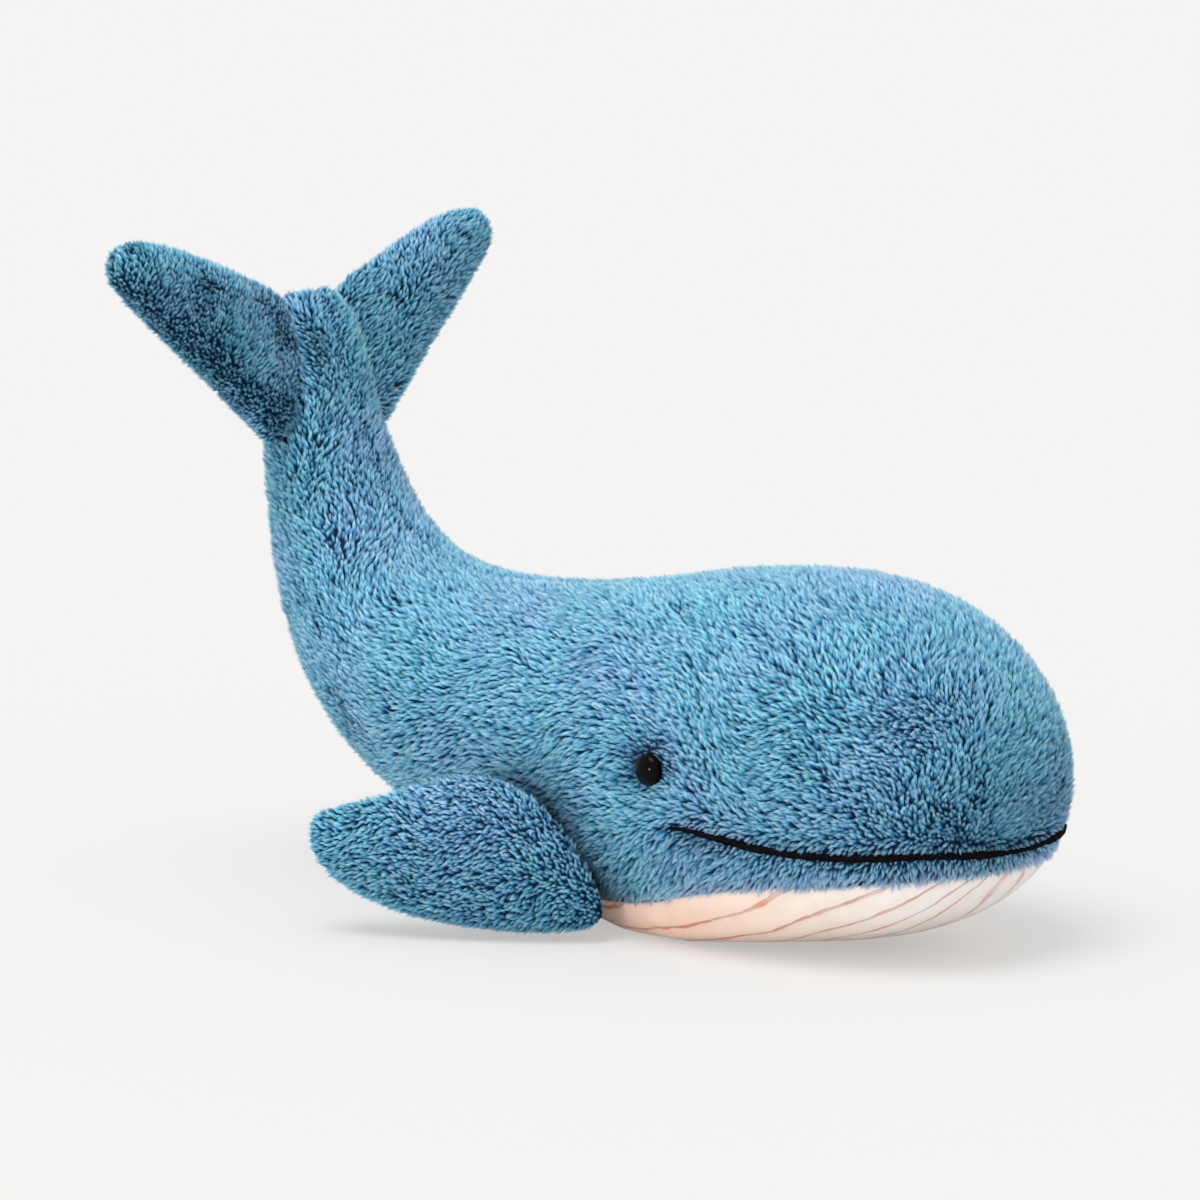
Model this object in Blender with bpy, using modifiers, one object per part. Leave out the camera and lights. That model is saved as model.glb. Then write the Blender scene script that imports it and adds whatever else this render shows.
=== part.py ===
"""A stuffed toy whale with a raised tail, sewn from plush panels over soft filling.

The whale faces +X and rests on its belly on z = 0. Its origin is the middle of the flat
patch that it rests on. All lengths are in metres.
"""

import math

import bmesh
import bpy
from mathutils import Matrix, Vector
from mathutils.bvhtree import BVHTree

# Overall sizes
BODY_LENGTH = 0.470
HEAD_HEIGHT = 0.186
HEAD_WIDTH = 0.190
TAIL_RISE = 0.138
FLAT_DEPTH = 0.0005

# Cloth and sewing
PLUSH_THICKNESS = 0.003
BELLY_CLOTH_THICKNESS = 0.0026
LIMB_PLUSH_THICKNESS = 0.0022
SEAM_GAP = 0.0003
FIT_GAP = 0.0003

# Flippers
FLIPPER_LENGTH = 0.155
FLIPPER_CHORD = 0.078
FLIPPER_THICKNESS = 0.038
FLIPPER_SPLAY_DEG = 28.0
FLIPPER_EDGE_THICKNESS = 0.0066
FLIPPER_ROOT_DRAW = 0.0004

# Flukes
FLUKE_REACH = 0.118
FLUKE_CHORD = 0.086
FLUKE_THICKNESS = 0.034
FLUKE_SPLAY_DEG = 90.0
FLUKE_EDGE_THICKNESS = 0.0084
FLUKE_ROOT_DRAW = 0.0011

# Eyes and their lock washers
EYE_DIAMETER = 0.014
EYE_DOME_HEIGHT = 0.0062
EYE_RIM_HEIGHT = 0.0016
EYE_POST_DIAMETER = 0.0044
EYE_POST_LENGTH = 0.0150
WASHER_DIAMETER = 0.0165
WASHER_THICKNESS = 0.0022
WASHER_HUB_DIAMETER = 0.0090
WASHER_HUB_HEIGHT = 0.0018

# Mouth cord
MOUTH_CORD_DIAMETER = 0.0022
MOUTH_CORD_POINTS = 57

# Pellet pouch in the belly
POUCH_LENGTH = 0.112
POUCH_WIDTH = 0.096
POUCH_HEIGHT = 0.034
POUCH_CLOTH_THICKNESS = 0.0012

# Facets
BODY_RING_POINTS = 14
LIMB_RING_POINTS = 8
EYE_STEPS = 20
POUCH_RING_POINTS = 16
SEAM_STEPS = 4
LEVEL_PASSES = 4
CUTTER_REACH = 0.6
MERGE_WITHIN = 0.00001

# Each row crosses the body at one place, from the snout to the end of the tail: the back's
# x and level, the underside's x and level, and half the width. Lengths along x are shares
# of BODY_LENGTH. A level up to 1 is a share of HEAD_HEIGHT, and what is over 1 is a share
# of TAIL_RISE above the head. Widths are shares of half HEAD_WIDTH.
BODY_ROW_SHARES = (
    (0.344, 0.520, 0.340, 0.330, 0.260),
    (0.334, 0.655, 0.330, 0.250, 0.490),
    (0.306, 0.788, 0.300, 0.165, 0.690),
    (0.260, 0.905, 0.258, 0.095, 0.845),
    (0.198, 0.990, 0.200, 0.045, 0.955),
    (0.124, 1.030, 0.130, 0.012, 1.010),
    (0.042, 1.022, 0.046, 0.000, 1.020),
    (-0.042, 0.990, -0.044, 0.002, 0.990),
    (-0.126, 0.948, -0.128, 0.014, 0.940),
    (-0.210, 0.914, -0.212, 0.050, 0.875),
    (-0.292, 0.898, -0.306, 0.114, 0.815),
    (-0.366, 0.896, -0.403, 0.208, 0.755),
    (-0.430, 0.920, -0.490, 0.326, 0.675),
    (-0.478, 0.982, -0.558, 0.468, 0.580),
    (-0.510, 1.100, -0.605, 0.634, 0.495),
    (-0.534, 1.260, -0.637, 0.810, 0.420),
    (-0.555, 1.430, -0.654, 0.990, 0.360),
    (-0.576, 1.660, -0.665, 1.400, 0.272),
    (-0.597, 1.800, -0.659, 1.660, 0.205),
    (-0.613, 1.872, -0.645, 1.835, 0.115),
)
BACK_FULLNESS = 2.15
CHIN_FULLNESS = 1.95
BELLY_FULLNESS = 2.75
RUMP_FULLNESS = 2.5
CHIN_ROWS = 5
BELLY_ROWS = 11
LIMB_FULLNESS = 2.1

# The mouth, from its corner forward, and the seam that runs on behind the corner: x as a
# share of BODY_LENGTH, z as a share of HEAD_HEIGHT.
SEAMS_MEET_SHARES = (-0.130, 0.098)
JAW_SEAM_SHARES = (
    SEAMS_MEET_SHARES,
    (-0.100, 0.195),
    (-0.050, 0.285),
    (0.025, 0.352),
    (0.094, 0.342),
    (0.153, 0.325),
    (0.228, 0.322),
    (0.290, 0.325),
    (0.340, 0.332),
    (0.400, 0.335),
)
MOUTH_CORNER_SHARE = 0.025

# The upper edge of the belly panel, from its rear end forward, in the same shares.
BELLY_SEAM_SHARES = (
    (-0.290, 0.105),
    SEAMS_MEET_SHARES,
    (-0.050, 0.115),
    (0.034, 0.165),
    (0.118, 0.208),
    (0.223, 0.238),
    (0.310, 0.262),
    (0.372, 0.272),
    (0.420, 0.275),
)

# Flipper rows from the root to the tip: the upper edge's reach and rise, the lower edge's
# reach and rise, and half the thickness, as shares of FLIPPER_LENGTH, FLIPPER_CHORD and
# half FLIPPER_THICKNESS. The thin sewn edge comes before them, on the root line itself.
FLIPPER_ROW_SHARES = (
    (0.330, 0.810, 0.030, -0.120, 0.500),
    (0.420, 0.885, 0.160, -0.180, 0.800),
    (0.540, 0.870, 0.380, -0.175, 0.980),
    (0.690, 0.760, 0.600, -0.110, 0.930),
    (0.820, 0.670, 0.780, 0.000, 0.780),
    (0.920, 0.610, 0.910, 0.140, 0.580),
    (0.980, 0.550, 0.980, 0.300, 0.330),
)
FLIPPER_ROOT_BOTTOM_SHARES = (-0.070, 0.110)
FLIPPER_ROOT_TOP_SHARES = (-0.135, 0.390)

# Fluke rows from the root to the tip, in shares of FLUKE_REACH, FLUKE_CHORD and half
# FLUKE_THICKNESS, laid out like the flipper's.
FLUKE_ROW_SHARES = (
    (0.120, 1.225, 0.110, 0.199, 0.700),
    (0.280, 1.310, 0.250, 0.380, 1.000),
    (0.480, 1.395, 0.430, 0.603, 0.980),
    (0.670, 1.460, 0.620, 0.814, 0.880),
    (0.820, 1.480, 0.790, 1.030, 0.740),
    (0.925, 1.432, 0.920, 1.171, 0.460),
)
FLUKE_ROOT_BOTTOM_SHARES = (-0.600, 1.170)
FLUKE_ROOT_TOP_SHARES = (-0.6245, 1.822)

# Where the filling is divided: x as a share of BODY_LENGTH, and for the tail a slanted cut
# through two such points with their z as a share of HEAD_HEIGHT.
HEAD_FILLING_END_SHARE = 0.010
TAIL_FILLING_TOP_SHARES = (-0.395, 0.930)
TAIL_FILLING_SLANT_DEG = 42.0

# Eye: x as a share of BODY_LENGTH and z as a share of HEAD_HEIGHT.
EYE_PLACE_SHARES = (0.005, 0.506)

# Pellet pouch: the middle's x as a share of BODY_LENGTH.
POUCH_MIDDLE_SHARE = 0.030

COLOURS = {
    "blue_plush": ((0.070, 0.250, 0.420), 0.95),
    "cream_cloth": ((0.780, 0.640, 0.560), 0.90),
    "black_cord": ((0.010, 0.010, 0.012), 0.70),
    "black_eye": ((0.006, 0.005, 0.005), 0.08),
    "washer_plastic": ((0.650, 0.650, 0.640), 0.45),
    "fibre_filling": ((0.850, 0.850, 0.840), 1.00),
    "pouch_cloth": ((0.720, 0.710, 0.680), 0.85),
    "pellets": ((0.560, 0.580, 0.600), 0.40),
}


def clear_scene():
    for item in list(bpy.data.objects):
        bpy.data.objects.remove(item, do_unlink=True)


def collection(name):
    made = bpy.data.collections.new(name)
    bpy.context.scene.collection.children.link(made)
    return made


def material(name):
    colour, roughness = COLOURS[name]
    made = bpy.data.materials.get(name) or bpy.data.materials.new(name)
    made.use_nodes = True
    shader = made.node_tree.nodes["Principled BSDF"]
    shader.inputs["Base Color"].default_value = (*colour, 1.0)
    shader.inputs["Roughness"].default_value = roughness
    shader.inputs["Metallic"].default_value = 0.0
    made.diffuse_color = (*colour, 1.0)
    return made


def add_object(name, mesh, group, finish=None):
    made = bpy.data.objects.new(name, mesh)
    group.objects.link(made)
    if finish:
        mesh.materials.clear()
        mesh.materials.append(material(finish))
    return made


def as_guide(item):
    item.hide_render = True
    item.display_type = "WIRE"
    return item


def evaluated_mesh(item):
    bpy.context.view_layer.update()
    graph = bpy.context.evaluated_depsgraph_get()
    return bpy.data.meshes.new_from_object(item.evaluated_get(graph))


def body_x(share):
    return share * BODY_LENGTH


def body_z(share):
    """The height of a level: shares of the head's height, and over 1 of the tail's rise."""
    return min(share, 1.0) * HEAD_HEIGHT + max(share - 1.0, 0.0) * TAIL_RISE


def rounded(value, fullness):
    """A sine or cosine pushed outwards, so that the section is fuller than an ellipse."""
    return math.copysign(abs(value) ** (2.0 / fullness), value)


def section(row, count, upper_fullness, lower_fullness):
    """The points round one section: across between its two edges, and out to each side."""
    upper, lower, half = row
    middle = (upper + lower) / 2
    across = (upper - lower) / 2
    for step in range(count):
        turn = 2 * math.pi * step / count
        fullness = upper_fullness if math.cos(turn) > 0 else lower_fullness
        up = rounded(math.cos(turn), fullness)
        out = rounded(math.sin(turn), fullness)
        yield middle + across * up, half * out


def loft(name, rows, place, count, group):
    """A closed skin through the sections, as a cage for a subdivision surface.

    Each end is a fan of triangles, so that edges run along the seam there too.
    """
    mesh = bmesh.new()
    rings = []
    for *row, upper_fullness, lower_fullness in rows:
        points = section(row, count, upper_fullness, lower_fullness)
        rings.append([mesh.verts.new(place(flat, out)) for flat, out in points])
    for first, second in zip(rings, rings[1:]):
        for step in range(count):
            after = (step + 1) % count
            mesh.faces.new((first[step], first[after], second[after], second[step]))
    caps = [mesh.faces.new(rings[0]), mesh.faces.new(rings[-1])]
    bmesh.ops.poke(mesh, faces=caps)
    bmesh.ops.recalc_face_normals(mesh, faces=mesh.faces)
    data = bpy.data.meshes.new(name)
    mesh.to_mesh(data)
    mesh.free()
    made = add_object(name, data, group)
    smooth = made.modifiers.new("Soft form", "SUBSURF")
    smooth.levels = smooth.render_levels = 1
    return made


def under_fullness(row):
    """Round under the chin, broad and flat under the belly, and round again at the rump."""
    if row < CHIN_ROWS:
        return CHIN_FULLNESS + (BELLY_FULLNESS - CHIN_FULLNESS) * row / CHIN_ROWS
    fade = min(1.0, (row - CHIN_ROWS) / (BELLY_ROWS - CHIN_ROWS)) ** 2
    return BELLY_FULLNESS + (RUMP_FULLNESS - BELLY_FULLNESS) * fade


def body_rows():
    for row, shares in enumerate(BODY_ROW_SHARES):
        back_x, back_z, under_x, under_z, half = shares
        upper = Vector((body_x(back_x), body_z(back_z)))
        lower = Vector((body_x(under_x), body_z(under_z)))
        yield upper, lower, half * HEAD_WIDTH / 2, BACK_FULLNESS, under_fullness(row)


def body_form(group):
    def place(flat, out):
        return Vector((flat.x, out, flat.y))

    made = loft("body_form", body_rows(), place, BODY_RING_POINTS, group)
    smooth = evaluated_mesh(made)
    lowest = min(point.co.z for point in smooth.vertices)
    bpy.data.meshes.remove(smooth)
    made.data.transform(Matrix.Translation((0, 0, -FLAT_DEPTH - lowest)))
    return as_guide(made)


def surface_of(item):
    bpy.context.view_layer.update()
    return BVHTree.FromObject(item, bpy.context.evaluated_depsgraph_get())


def side_hit(surface, x, z, side):
    """Where a line along Y meets the body's side at this x and z, and the normal there."""
    place, normal, _, _ = surface.ray_cast(
        Vector((x, side * CUTTER_REACH, z)), Vector((0, -side, 0))
    )
    return place, normal


def box(name, low, high, group):
    mesh = bmesh.new()
    bmesh.ops.create_cube(mesh, size=1.0)
    low, high = Vector(low), Vector(high)
    size = high - low
    bmesh.ops.transform(
        mesh,
        matrix=Matrix.Translation((low + high) / 2) @ Matrix.Diagonal((*size, 1.0)),
        verts=mesh.verts,
    )
    data = bpy.data.meshes.new(name)
    mesh.to_mesh(data)
    mesh.free()
    return as_guide(add_object(name, data, group))


def side_outline(name, points, group):
    """A flat outline in the side view, extruded right through the body along Y."""
    curve = bpy.data.curves.new(name, "CURVE")
    curve.dimensions = "2D"
    curve.fill_mode = "BOTH"
    curve.extrude = CUTTER_REACH
    spline = curve.splines.new("POLY")
    spline.points.add(len(points) - 1)
    for point, (x, z) in zip(spline.points, points):
        point.co = (x, z, 0, 1)
    spline.use_cyclic_u = True
    outline = bpy.data.objects.new(name + "_outline", curve)
    group.objects.link(outline)
    outline.rotation_euler = (math.pi / 2, 0, 0)
    data = evaluated_mesh(outline)
    mesh = bmesh.new()
    mesh.from_mesh(data)
    bmesh.ops.remove_doubles(mesh, verts=mesh.verts, dist=SEAM_GAP / 10)
    bmesh.ops.transform(mesh, matrix=outline.matrix_world, verts=mesh.verts)
    bmesh.ops.recalc_face_normals(mesh, faces=mesh.faces)
    mesh.to_mesh(data)
    mesh.free()
    bpy.data.objects.remove(outline)
    bpy.data.curves.remove(curve)
    return as_guide(add_object(name, data, group))


def seam_curve(shares):
    """A smooth line through the seam's points, in the side view."""
    points = [Vector((body_x(x), z * HEAD_HEIGHT)) for x, z in shares]
    ends = [2 * points[0] - points[1], *points, 2 * points[-1] - points[-2]]
    line = []
    for before, start, end, after in zip(ends, ends[1:], ends[2:], ends[3:]):
        for step in range(SEAM_STEPS):
            t = step / SEAM_STEPS
            bend = (
                (2 * before - 5 * start + 4 * end - after) * t * t
                + (3 * start - before - 3 * end + after) * t ** 3
            )
            line.append(start + ((end - before) * t + bend) / 2)
    return [*line, points[-1]]


def under_line(name, line, shift, group):
    """Everything below a seam, as a cutter. The shift moves its edge for the seam's gap."""
    depth = -HEAD_HEIGHT
    back, front = line[0], line[-1]
    points = [
        (back.x - shift, depth),
        (back.x - shift, back.y + shift),
        *((point.x, point.y + shift) for point in line[1:-1]),
        (front.x + shift, front.y + shift),
        (front.x + shift, depth),
    ]
    return side_outline(name, points, group)


def side_panel_line():
    """The side panels' lower edge: the belly seam at the back, the jaw seam forward of it."""
    jaw = seam_curve(JAW_SEAM_SHARES)
    behind = [point for point in seam_curve(BELLY_SEAM_SHARES) if point.x < jaw[0].x]
    return [*behind, *jaw]


def seam_height(shares, x):
    line = seam_curve(shares)
    for start, end in zip(line, line[1:]):
        if start.x <= x <= end.x:
            return start.y + (end.y - start.y) * (x - start.x) / (end.x - start.x)
    return line[-1].y if x > line[-1].x else line[0].y


def boolean(item, operation, other):
    cut = item.modifiers.new(f"{operation.title()} {other.name}", "BOOLEAN")
    cut.operation = operation
    cut.object = other
    return cut


def skin(item, thickness):
    wall = item.modifiers.new("Cloth", "SOLIDIFY")
    wall.thickness = thickness
    wall.offset = -1
    wall.use_even_offset = False
    return wall


def shrink(item, depth):
    inset = item.modifiers.new("Inset", "DISPLACE")
    inset.strength = -depth
    inset.mid_level = 0
    return inset


def copy_form(name, form, group, finish):
    """A new piece that starts as the form's own smooth surface."""
    made = add_object(name, form.data.copy(), group, finish)
    smooth = made.modifiers.new("Soft form", "SUBSURF")
    smooth.levels = smooth.render_levels = 1
    return made


def wall_of(form, thickness, group):
    """The form as a closed wall: its smooth surface and an inner one, not yet joined."""
    piece = copy_form("wall", form, group, None)
    skin(piece, thickness)
    mesh = evaluated_mesh(piece)
    bpy.data.objects.remove(piece)
    return mesh


def keep_side(name, wall, frame, side, group, finish):
    """One panel of a wall that is sewn along the frame's XY plane, with half a gap there.

    The far side goes, what lies on the seam or inside it steps back from it, and the outer
    and inner edges are bridged by the cloth's cut edge. The wall's inner points follow its
    outer ones in the same order, and each goes or stays with its outer point.
    """
    away = frame.inverted()
    mesh = bmesh.new()
    mesh.from_mesh(wall)
    mesh.verts.ensure_lookup_table()
    outer_count = len(mesh.verts) // 2
    depths = [(away @ point.co).z * side for point in mesh.verts[:outer_count]] * 2
    far = [point for point, depth in zip(mesh.verts, depths) if depth < -SEAM_GAP / 10]
    bmesh.ops.delete(mesh, geom=far, context="VERTS")
    for point in mesh.verts:
        place = away @ point.co
        place.z = side * max(place.z * side, SEAM_GAP / 2)
        point.co = frame @ place
    bmesh.ops.bridge_loops(mesh, edges=[edge for edge in mesh.edges if edge.is_boundary])
    bmesh.ops.recalc_face_normals(mesh, faces=mesh.faces)
    data = bpy.data.meshes.new(name)
    mesh.to_mesh(data)
    mesh.free()
    return add_object(name, data, group, finish)


def turned(name, profile, steps, group, finish=None):
    """A solid turned round Z from a profile given top to bottom on its outer side."""
    data = bpy.data.meshes.new(name)
    mesh = bmesh.new()
    points = [mesh.verts.new((x, 0, z)) for x, z in profile]
    for start, end in zip(points, points[1:]):
        mesh.edges.new((start, end))
    mesh.to_mesh(data)
    mesh.free()
    made = add_object(name, data, group, finish)
    screw = made.modifiers.new("Turn", "SCREW")
    screw.steps = screw.render_steps = steps
    screw.use_merge_vertices = True
    screw.merge_threshold = MERGE_WITHIN
    return made


def facing(place, normal):
    """A matrix at the place, with its Z along the normal."""
    turn = normal.to_track_quat("Z", "Y").to_matrix().to_4x4()
    return Matrix.Translation(place) @ turn


def body_panels(form, cutters, parts):
    """The blue side panels, the jaw band and the cream belly panel."""
    panels = {}
    gap = SEAM_GAP / 2
    jaw_line, belly_line = seam_curve(JAW_SEAM_SHARES), seam_curve(BELLY_SEAM_SHARES)
    under_sides = under_line("under_side_panels", side_panel_line(), gap, cutters)
    within_jaw = under_line("within_jaw_seam", jaw_line, -gap, cutters)
    under_belly = under_line("under_belly_seam", belly_line, gap, cutters)
    within_belly = under_line("within_belly_seam", belly_line, -gap, cutters)
    across = Matrix.Rotation(-math.pi / 2, 4, "X")
    plush = wall_of(form, PLUSH_THICKNESS, cutters)
    for side, word in ((-1, "right"), (1, "left")):
        name = f"side_panel_{word}"
        panels[name] = keep_side(name, plush, across, side, parts, "blue_plush")
        boolean(panels[name], "DIFFERENCE", under_sides)
    jaw = add_object("jaw_band", plush, parts, "blue_plush")
    boolean(jaw, "INTERSECT", within_jaw)
    boolean(jaw, "DIFFERENCE", under_belly)
    cloth = wall_of(form, BELLY_CLOTH_THICKNESS, cutters)
    belly = add_object("belly_panel", cloth, parts, "cream_cloth")
    boolean(belly, "INTERSECT", within_belly)
    size = CUTTER_REACH
    boolean(belly, "DIFFERENCE", box("below_floor", (-size,) * 3, (size, size, 0), cutters))
    panels["jaw_band"] = jaw
    panels["belly_panel"] = belly
    return panels


def tail_region(name, growth, group):
    """Everything beyond the slanted plane where the tail's filling starts."""
    size = CUTTER_REACH
    made = box(name, (-size, -size, -growth), (size, size, size), group)
    x, z = TAIL_FILLING_TOP_SHARES
    place = Matrix.Translation((body_x(x), 0, body_z(z)))
    slant = math.radians(90 - TAIL_FILLING_SLANT_DEG)
    made.data.transform(place @ Matrix.Rotation(-slant, 4, "Y"))
    return made


def body_filling(form, cutters, parts):
    """The fibre filling of the head, the trunk and the tail, each a loose wad of its own."""
    split = body_x(HEAD_FILLING_END_SHARE)
    low, high = (-CUTTER_REACH,) * 3, (CUTTER_REACH,) * 3
    regions = {
        "head_filling": box("head_region", (split, *low[1:]), high, cutters),
        "trunk_filling": box(
            "behind_head_region", low, (split - FIT_GAP, *high[1:]), cutters
        ),
        "tail_filling": tail_region("tail_region", 0, cutters),
    }
    wads = {}
    for name, region in regions.items():
        wads[name] = copy_form(name, form, parts, "fibre_filling")
        shrink(wads[name], PLUSH_THICKNESS + FIT_GAP)
        boolean(wads[name], "INTERSECT", region)
    beyond = tail_region("grown_tail_region", FIT_GAP, cutters)
    boolean(wads["trunk_filling"], "DIFFERENCE", beyond)
    return wads


def eye_profile():
    """From the top of the dome down its side, under the rim and down the post."""
    radius, post = EYE_DIAMETER / 2, EYE_POST_DIAMETER / 2
    dome = EYE_DOME_HEIGHT - EYE_RIM_HEIGHT
    steps = EYE_STEPS // 4
    arc = [
        (radius * math.sin(turn), EYE_RIM_HEIGHT + dome * math.cos(turn))
        for turn in (math.pi / 2 * step / steps for step in range(steps + 1))
    ]
    return [*arc, (radius, 0), (post, 0), (post, -EYE_POST_LENGTH), (0, -EYE_POST_LENGTH)]


def washer_profile():
    outer, bore = WASHER_DIAMETER / 2, EYE_POST_DIAMETER / 2 + FIT_GAP
    hub = WASHER_HUB_DIAMETER / 2
    under = -WASHER_THICKNESS - WASHER_HUB_HEIGHT
    return [
        (bore, 0),
        (outer, 0),
        (outer, -WASHER_THICKNESS),
        (hub, -WASHER_THICKNESS),
        (hub, under),
        (bore, under),
        (bore, 0),
    ]


def rod_profile(radius, top, bottom):
    return [(0, top), (radius, top), (radius, bottom), (0, bottom)]


def eyes(surface, panels, wads, cutters, parts):
    """Each eye is a domed button on a post, locked by a washer inside the cloth."""
    x, z = EYE_PLACE_SHARES
    lift = Matrix.Translation((0, 0, FIT_GAP))
    hollow = WASHER_DIAMETER**2 / (4 * HEAD_HEIGHT)
    inner = -PLUSH_THICKNESS - hollow - 3 * FIT_GAP
    for side, word in ((-1, "right"), (1, "left")):
        place, normal = side_hit(surface, body_x(x), z * HEAD_HEIGHT, side)
        frame = facing(place, normal)
        eye = turned(f"eye_{word}", eye_profile(), EYE_STEPS, parts, "black_eye")
        eye.matrix_world = frame @ lift
        washer = turned(
            f"eye_washer_{word}", washer_profile(), EYE_STEPS, parts, "washer_plastic"
        )
        washer.matrix_world = frame @ Matrix.Translation((0, 0, inner))
        hole = turned(
            f"post_hole_{word}",
            rod_profile(EYE_POST_DIAMETER / 2 + FIT_GAP, EYE_DOME_HEIGHT, -EYE_POST_LENGTH),
            EYE_STEPS,
            cutters,
        )
        hole.matrix_world = frame
        boolean(panels[f"side_panel_{word}"], "DIFFERENCE", as_guide(hole))
        pocket = turned(
            f"washer_pocket_{word}",
            [
                (0, EYE_DOME_HEIGHT),
                (WASHER_DIAMETER / 2 + FIT_GAP, EYE_DOME_HEIGHT),
                (WASHER_DIAMETER / 2 + FIT_GAP, inner - WASHER_THICKNESS - FIT_GAP),
                (WASHER_HUB_DIAMETER / 2 + FIT_GAP, inner - WASHER_THICKNESS - FIT_GAP),
                (WASHER_HUB_DIAMETER / 2 + FIT_GAP, -EYE_POST_LENGTH - FIT_GAP),
                (0, -EYE_POST_LENGTH - FIT_GAP),
            ],
            EYE_STEPS,
            cutters,
        )
        pocket.matrix_world = frame
        as_guide(pocket)
        boolean(wads["head_filling"], "DIFFERENCE", pocket)
        boolean(wads["trunk_filling"], "DIFFERENCE", pocket)


def mouth_cord(surface, parts):
    """The black cord sewn along the mouth, from one corner round the snout to the other."""
    centre_x = body_x(MOUTH_CORNER_SHARE)
    lift = MOUTH_CORD_DIAMETER / 2 + 2 * FIT_GAP
    route = []
    for step in range(MOUTH_CORD_POINTS):
        turn = math.pi * (step / (MOUTH_CORD_POINTS - 1) - 0.5)
        heading = Vector((math.cos(turn), math.sin(turn), 0))
        height = seam_height(JAW_SEAM_SHARES, centre_x)
        for _ in range(LEVEL_PASSES):
            start = Vector((centre_x, 0, height))
            place, normal, _, _ = surface.ray_cast(start, heading)
            height = seam_height(JAW_SEAM_SHARES, place.x)
        route.append(place + normal * lift)
    curve = bpy.data.curves.new("mouth_cord", "CURVE")
    curve.dimensions = "3D"
    curve.bevel_depth = MOUTH_CORD_DIAMETER / 2
    curve.bevel_resolution = 1
    curve.use_fill_caps = True
    spline = curve.splines.new("POLY")
    spline.points.add(len(route) - 1)
    for point, place in zip(spline.points, route):
        point.co = (*place, 1)
    curve.materials.append(material("black_cord"))
    made = bpy.data.objects.new("mouth_cord", curve)
    parts.objects.link(made)
    return made


def limb_rows(plan, root):
    """The rows of a flipper or fluke in its own plane, from its thin sewn edge outwards."""
    low, high = root
    yield high, low, plan["edge"] / 2, LIMB_FULLNESS, LIMB_FULLNESS
    for reach_up, rise_up, reach_low, rise_low, half in plan["rows"]:
        yield (
            Vector((reach_up * plan["length"], rise_up * plan["chord"])),
            Vector((reach_low * plan["length"], rise_low * plan["chord"])),
            half * plan["thickness"] / 2,
            LIMB_FULLNESS,
            LIMB_FULLNESS,
        )


def root_line(surface, plan, side, along):
    """The straight line beside the body that a limb is sewn along.

    It stands clear of the body's bulge, and of the half of the sewn edge that faces it, less
    what the soft form draws in there.
    """
    hits = [side_hit(surface, body_x(x), body_z(z), side) for x, z in plan["root"]]
    (low, low_normal), (high, high_normal) = hits
    centre = (low + high) / 2
    outward = (low_normal + high_normal).normalized()
    middle, _ = side_hit(surface, centre.x, centre.z, side)
    bulge = max(0, (middle - centre).dot(outward))
    facing_share = outward.cross(along).length
    clearance = bulge + plan["edge"] / 2 * facing_share + FIT_GAP - plan["draw"]
    return low + outward * clearance, high + outward * clearance


def plane_matrix(origin, along, up):
    """The limb's plane: X along its reach, Y up its edge, Z out of the plane."""
    out = along.cross(up).normalized()
    up = out.cross(along).normalized()
    return Matrix.Translation(origin) @ Matrix((along, up, out)).transposed().to_4x4()


def hang(pieces, name, place, axis, parts):
    """Puts an empty on the hinge line, with its Z along it, and parents the pieces to it."""
    empty = bpy.data.objects.new(name, None)
    empty.matrix_world = facing(place, axis)
    empty.empty_display_size = FLIPPER_CHORD / 2
    parts.objects.link(empty)
    bpy.context.view_layer.update()
    for piece in pieces:
        piece.parent = empty
        piece.matrix_parent_inverse = empty.matrix_world.inverted()
    print(name, "at", [round(v, 5) for v in place], "along", [round(v, 5) for v in axis])


def limb(base, plan, side, surface, cutters, parts):
    """A flat pouch: two plush panels joined round their edge, over a filling."""
    word = "right" if side < 0 else "left"
    splay = math.radians(plan["splay"])
    along = Vector((-math.cos(splay), side * math.sin(splay), 0))
    low, high = root_line(surface, plan, side, along)
    plane = plane_matrix(low, along, (high - low).normalized())
    root = Vector((0, 0)), (plane.inverted() @ high).to_2d()

    def place(flat, out):
        return plane @ Vector((flat.x, flat.y, out))

    name = f"{base}_form_{word}"
    rows = limb_rows(plan, root)
    form = as_guide(loft(name, rows, place, LIMB_RING_POINTS, cutters))
    wall = wall_of(form, LIMB_PLUSH_THICKNESS, cutters)
    pieces = []
    for face, panel_side in zip(plan["faces"], (-side, side)):
        name = f"{base}_{face}_panel_{word}"
        pieces.append(keep_side(name, wall, plane, panel_side, parts, "blue_plush"))
    wad = copy_form(f"{base}_filling_{word}", form, parts, "fibre_filling")
    shrink(wad, LIMB_PLUSH_THICKNESS + FIT_GAP)
    pieces.append(wad)
    hang(pieces, f"{base}_hinge_{word}", (low + high) / 2, (high - low).normalized(), parts)


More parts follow.
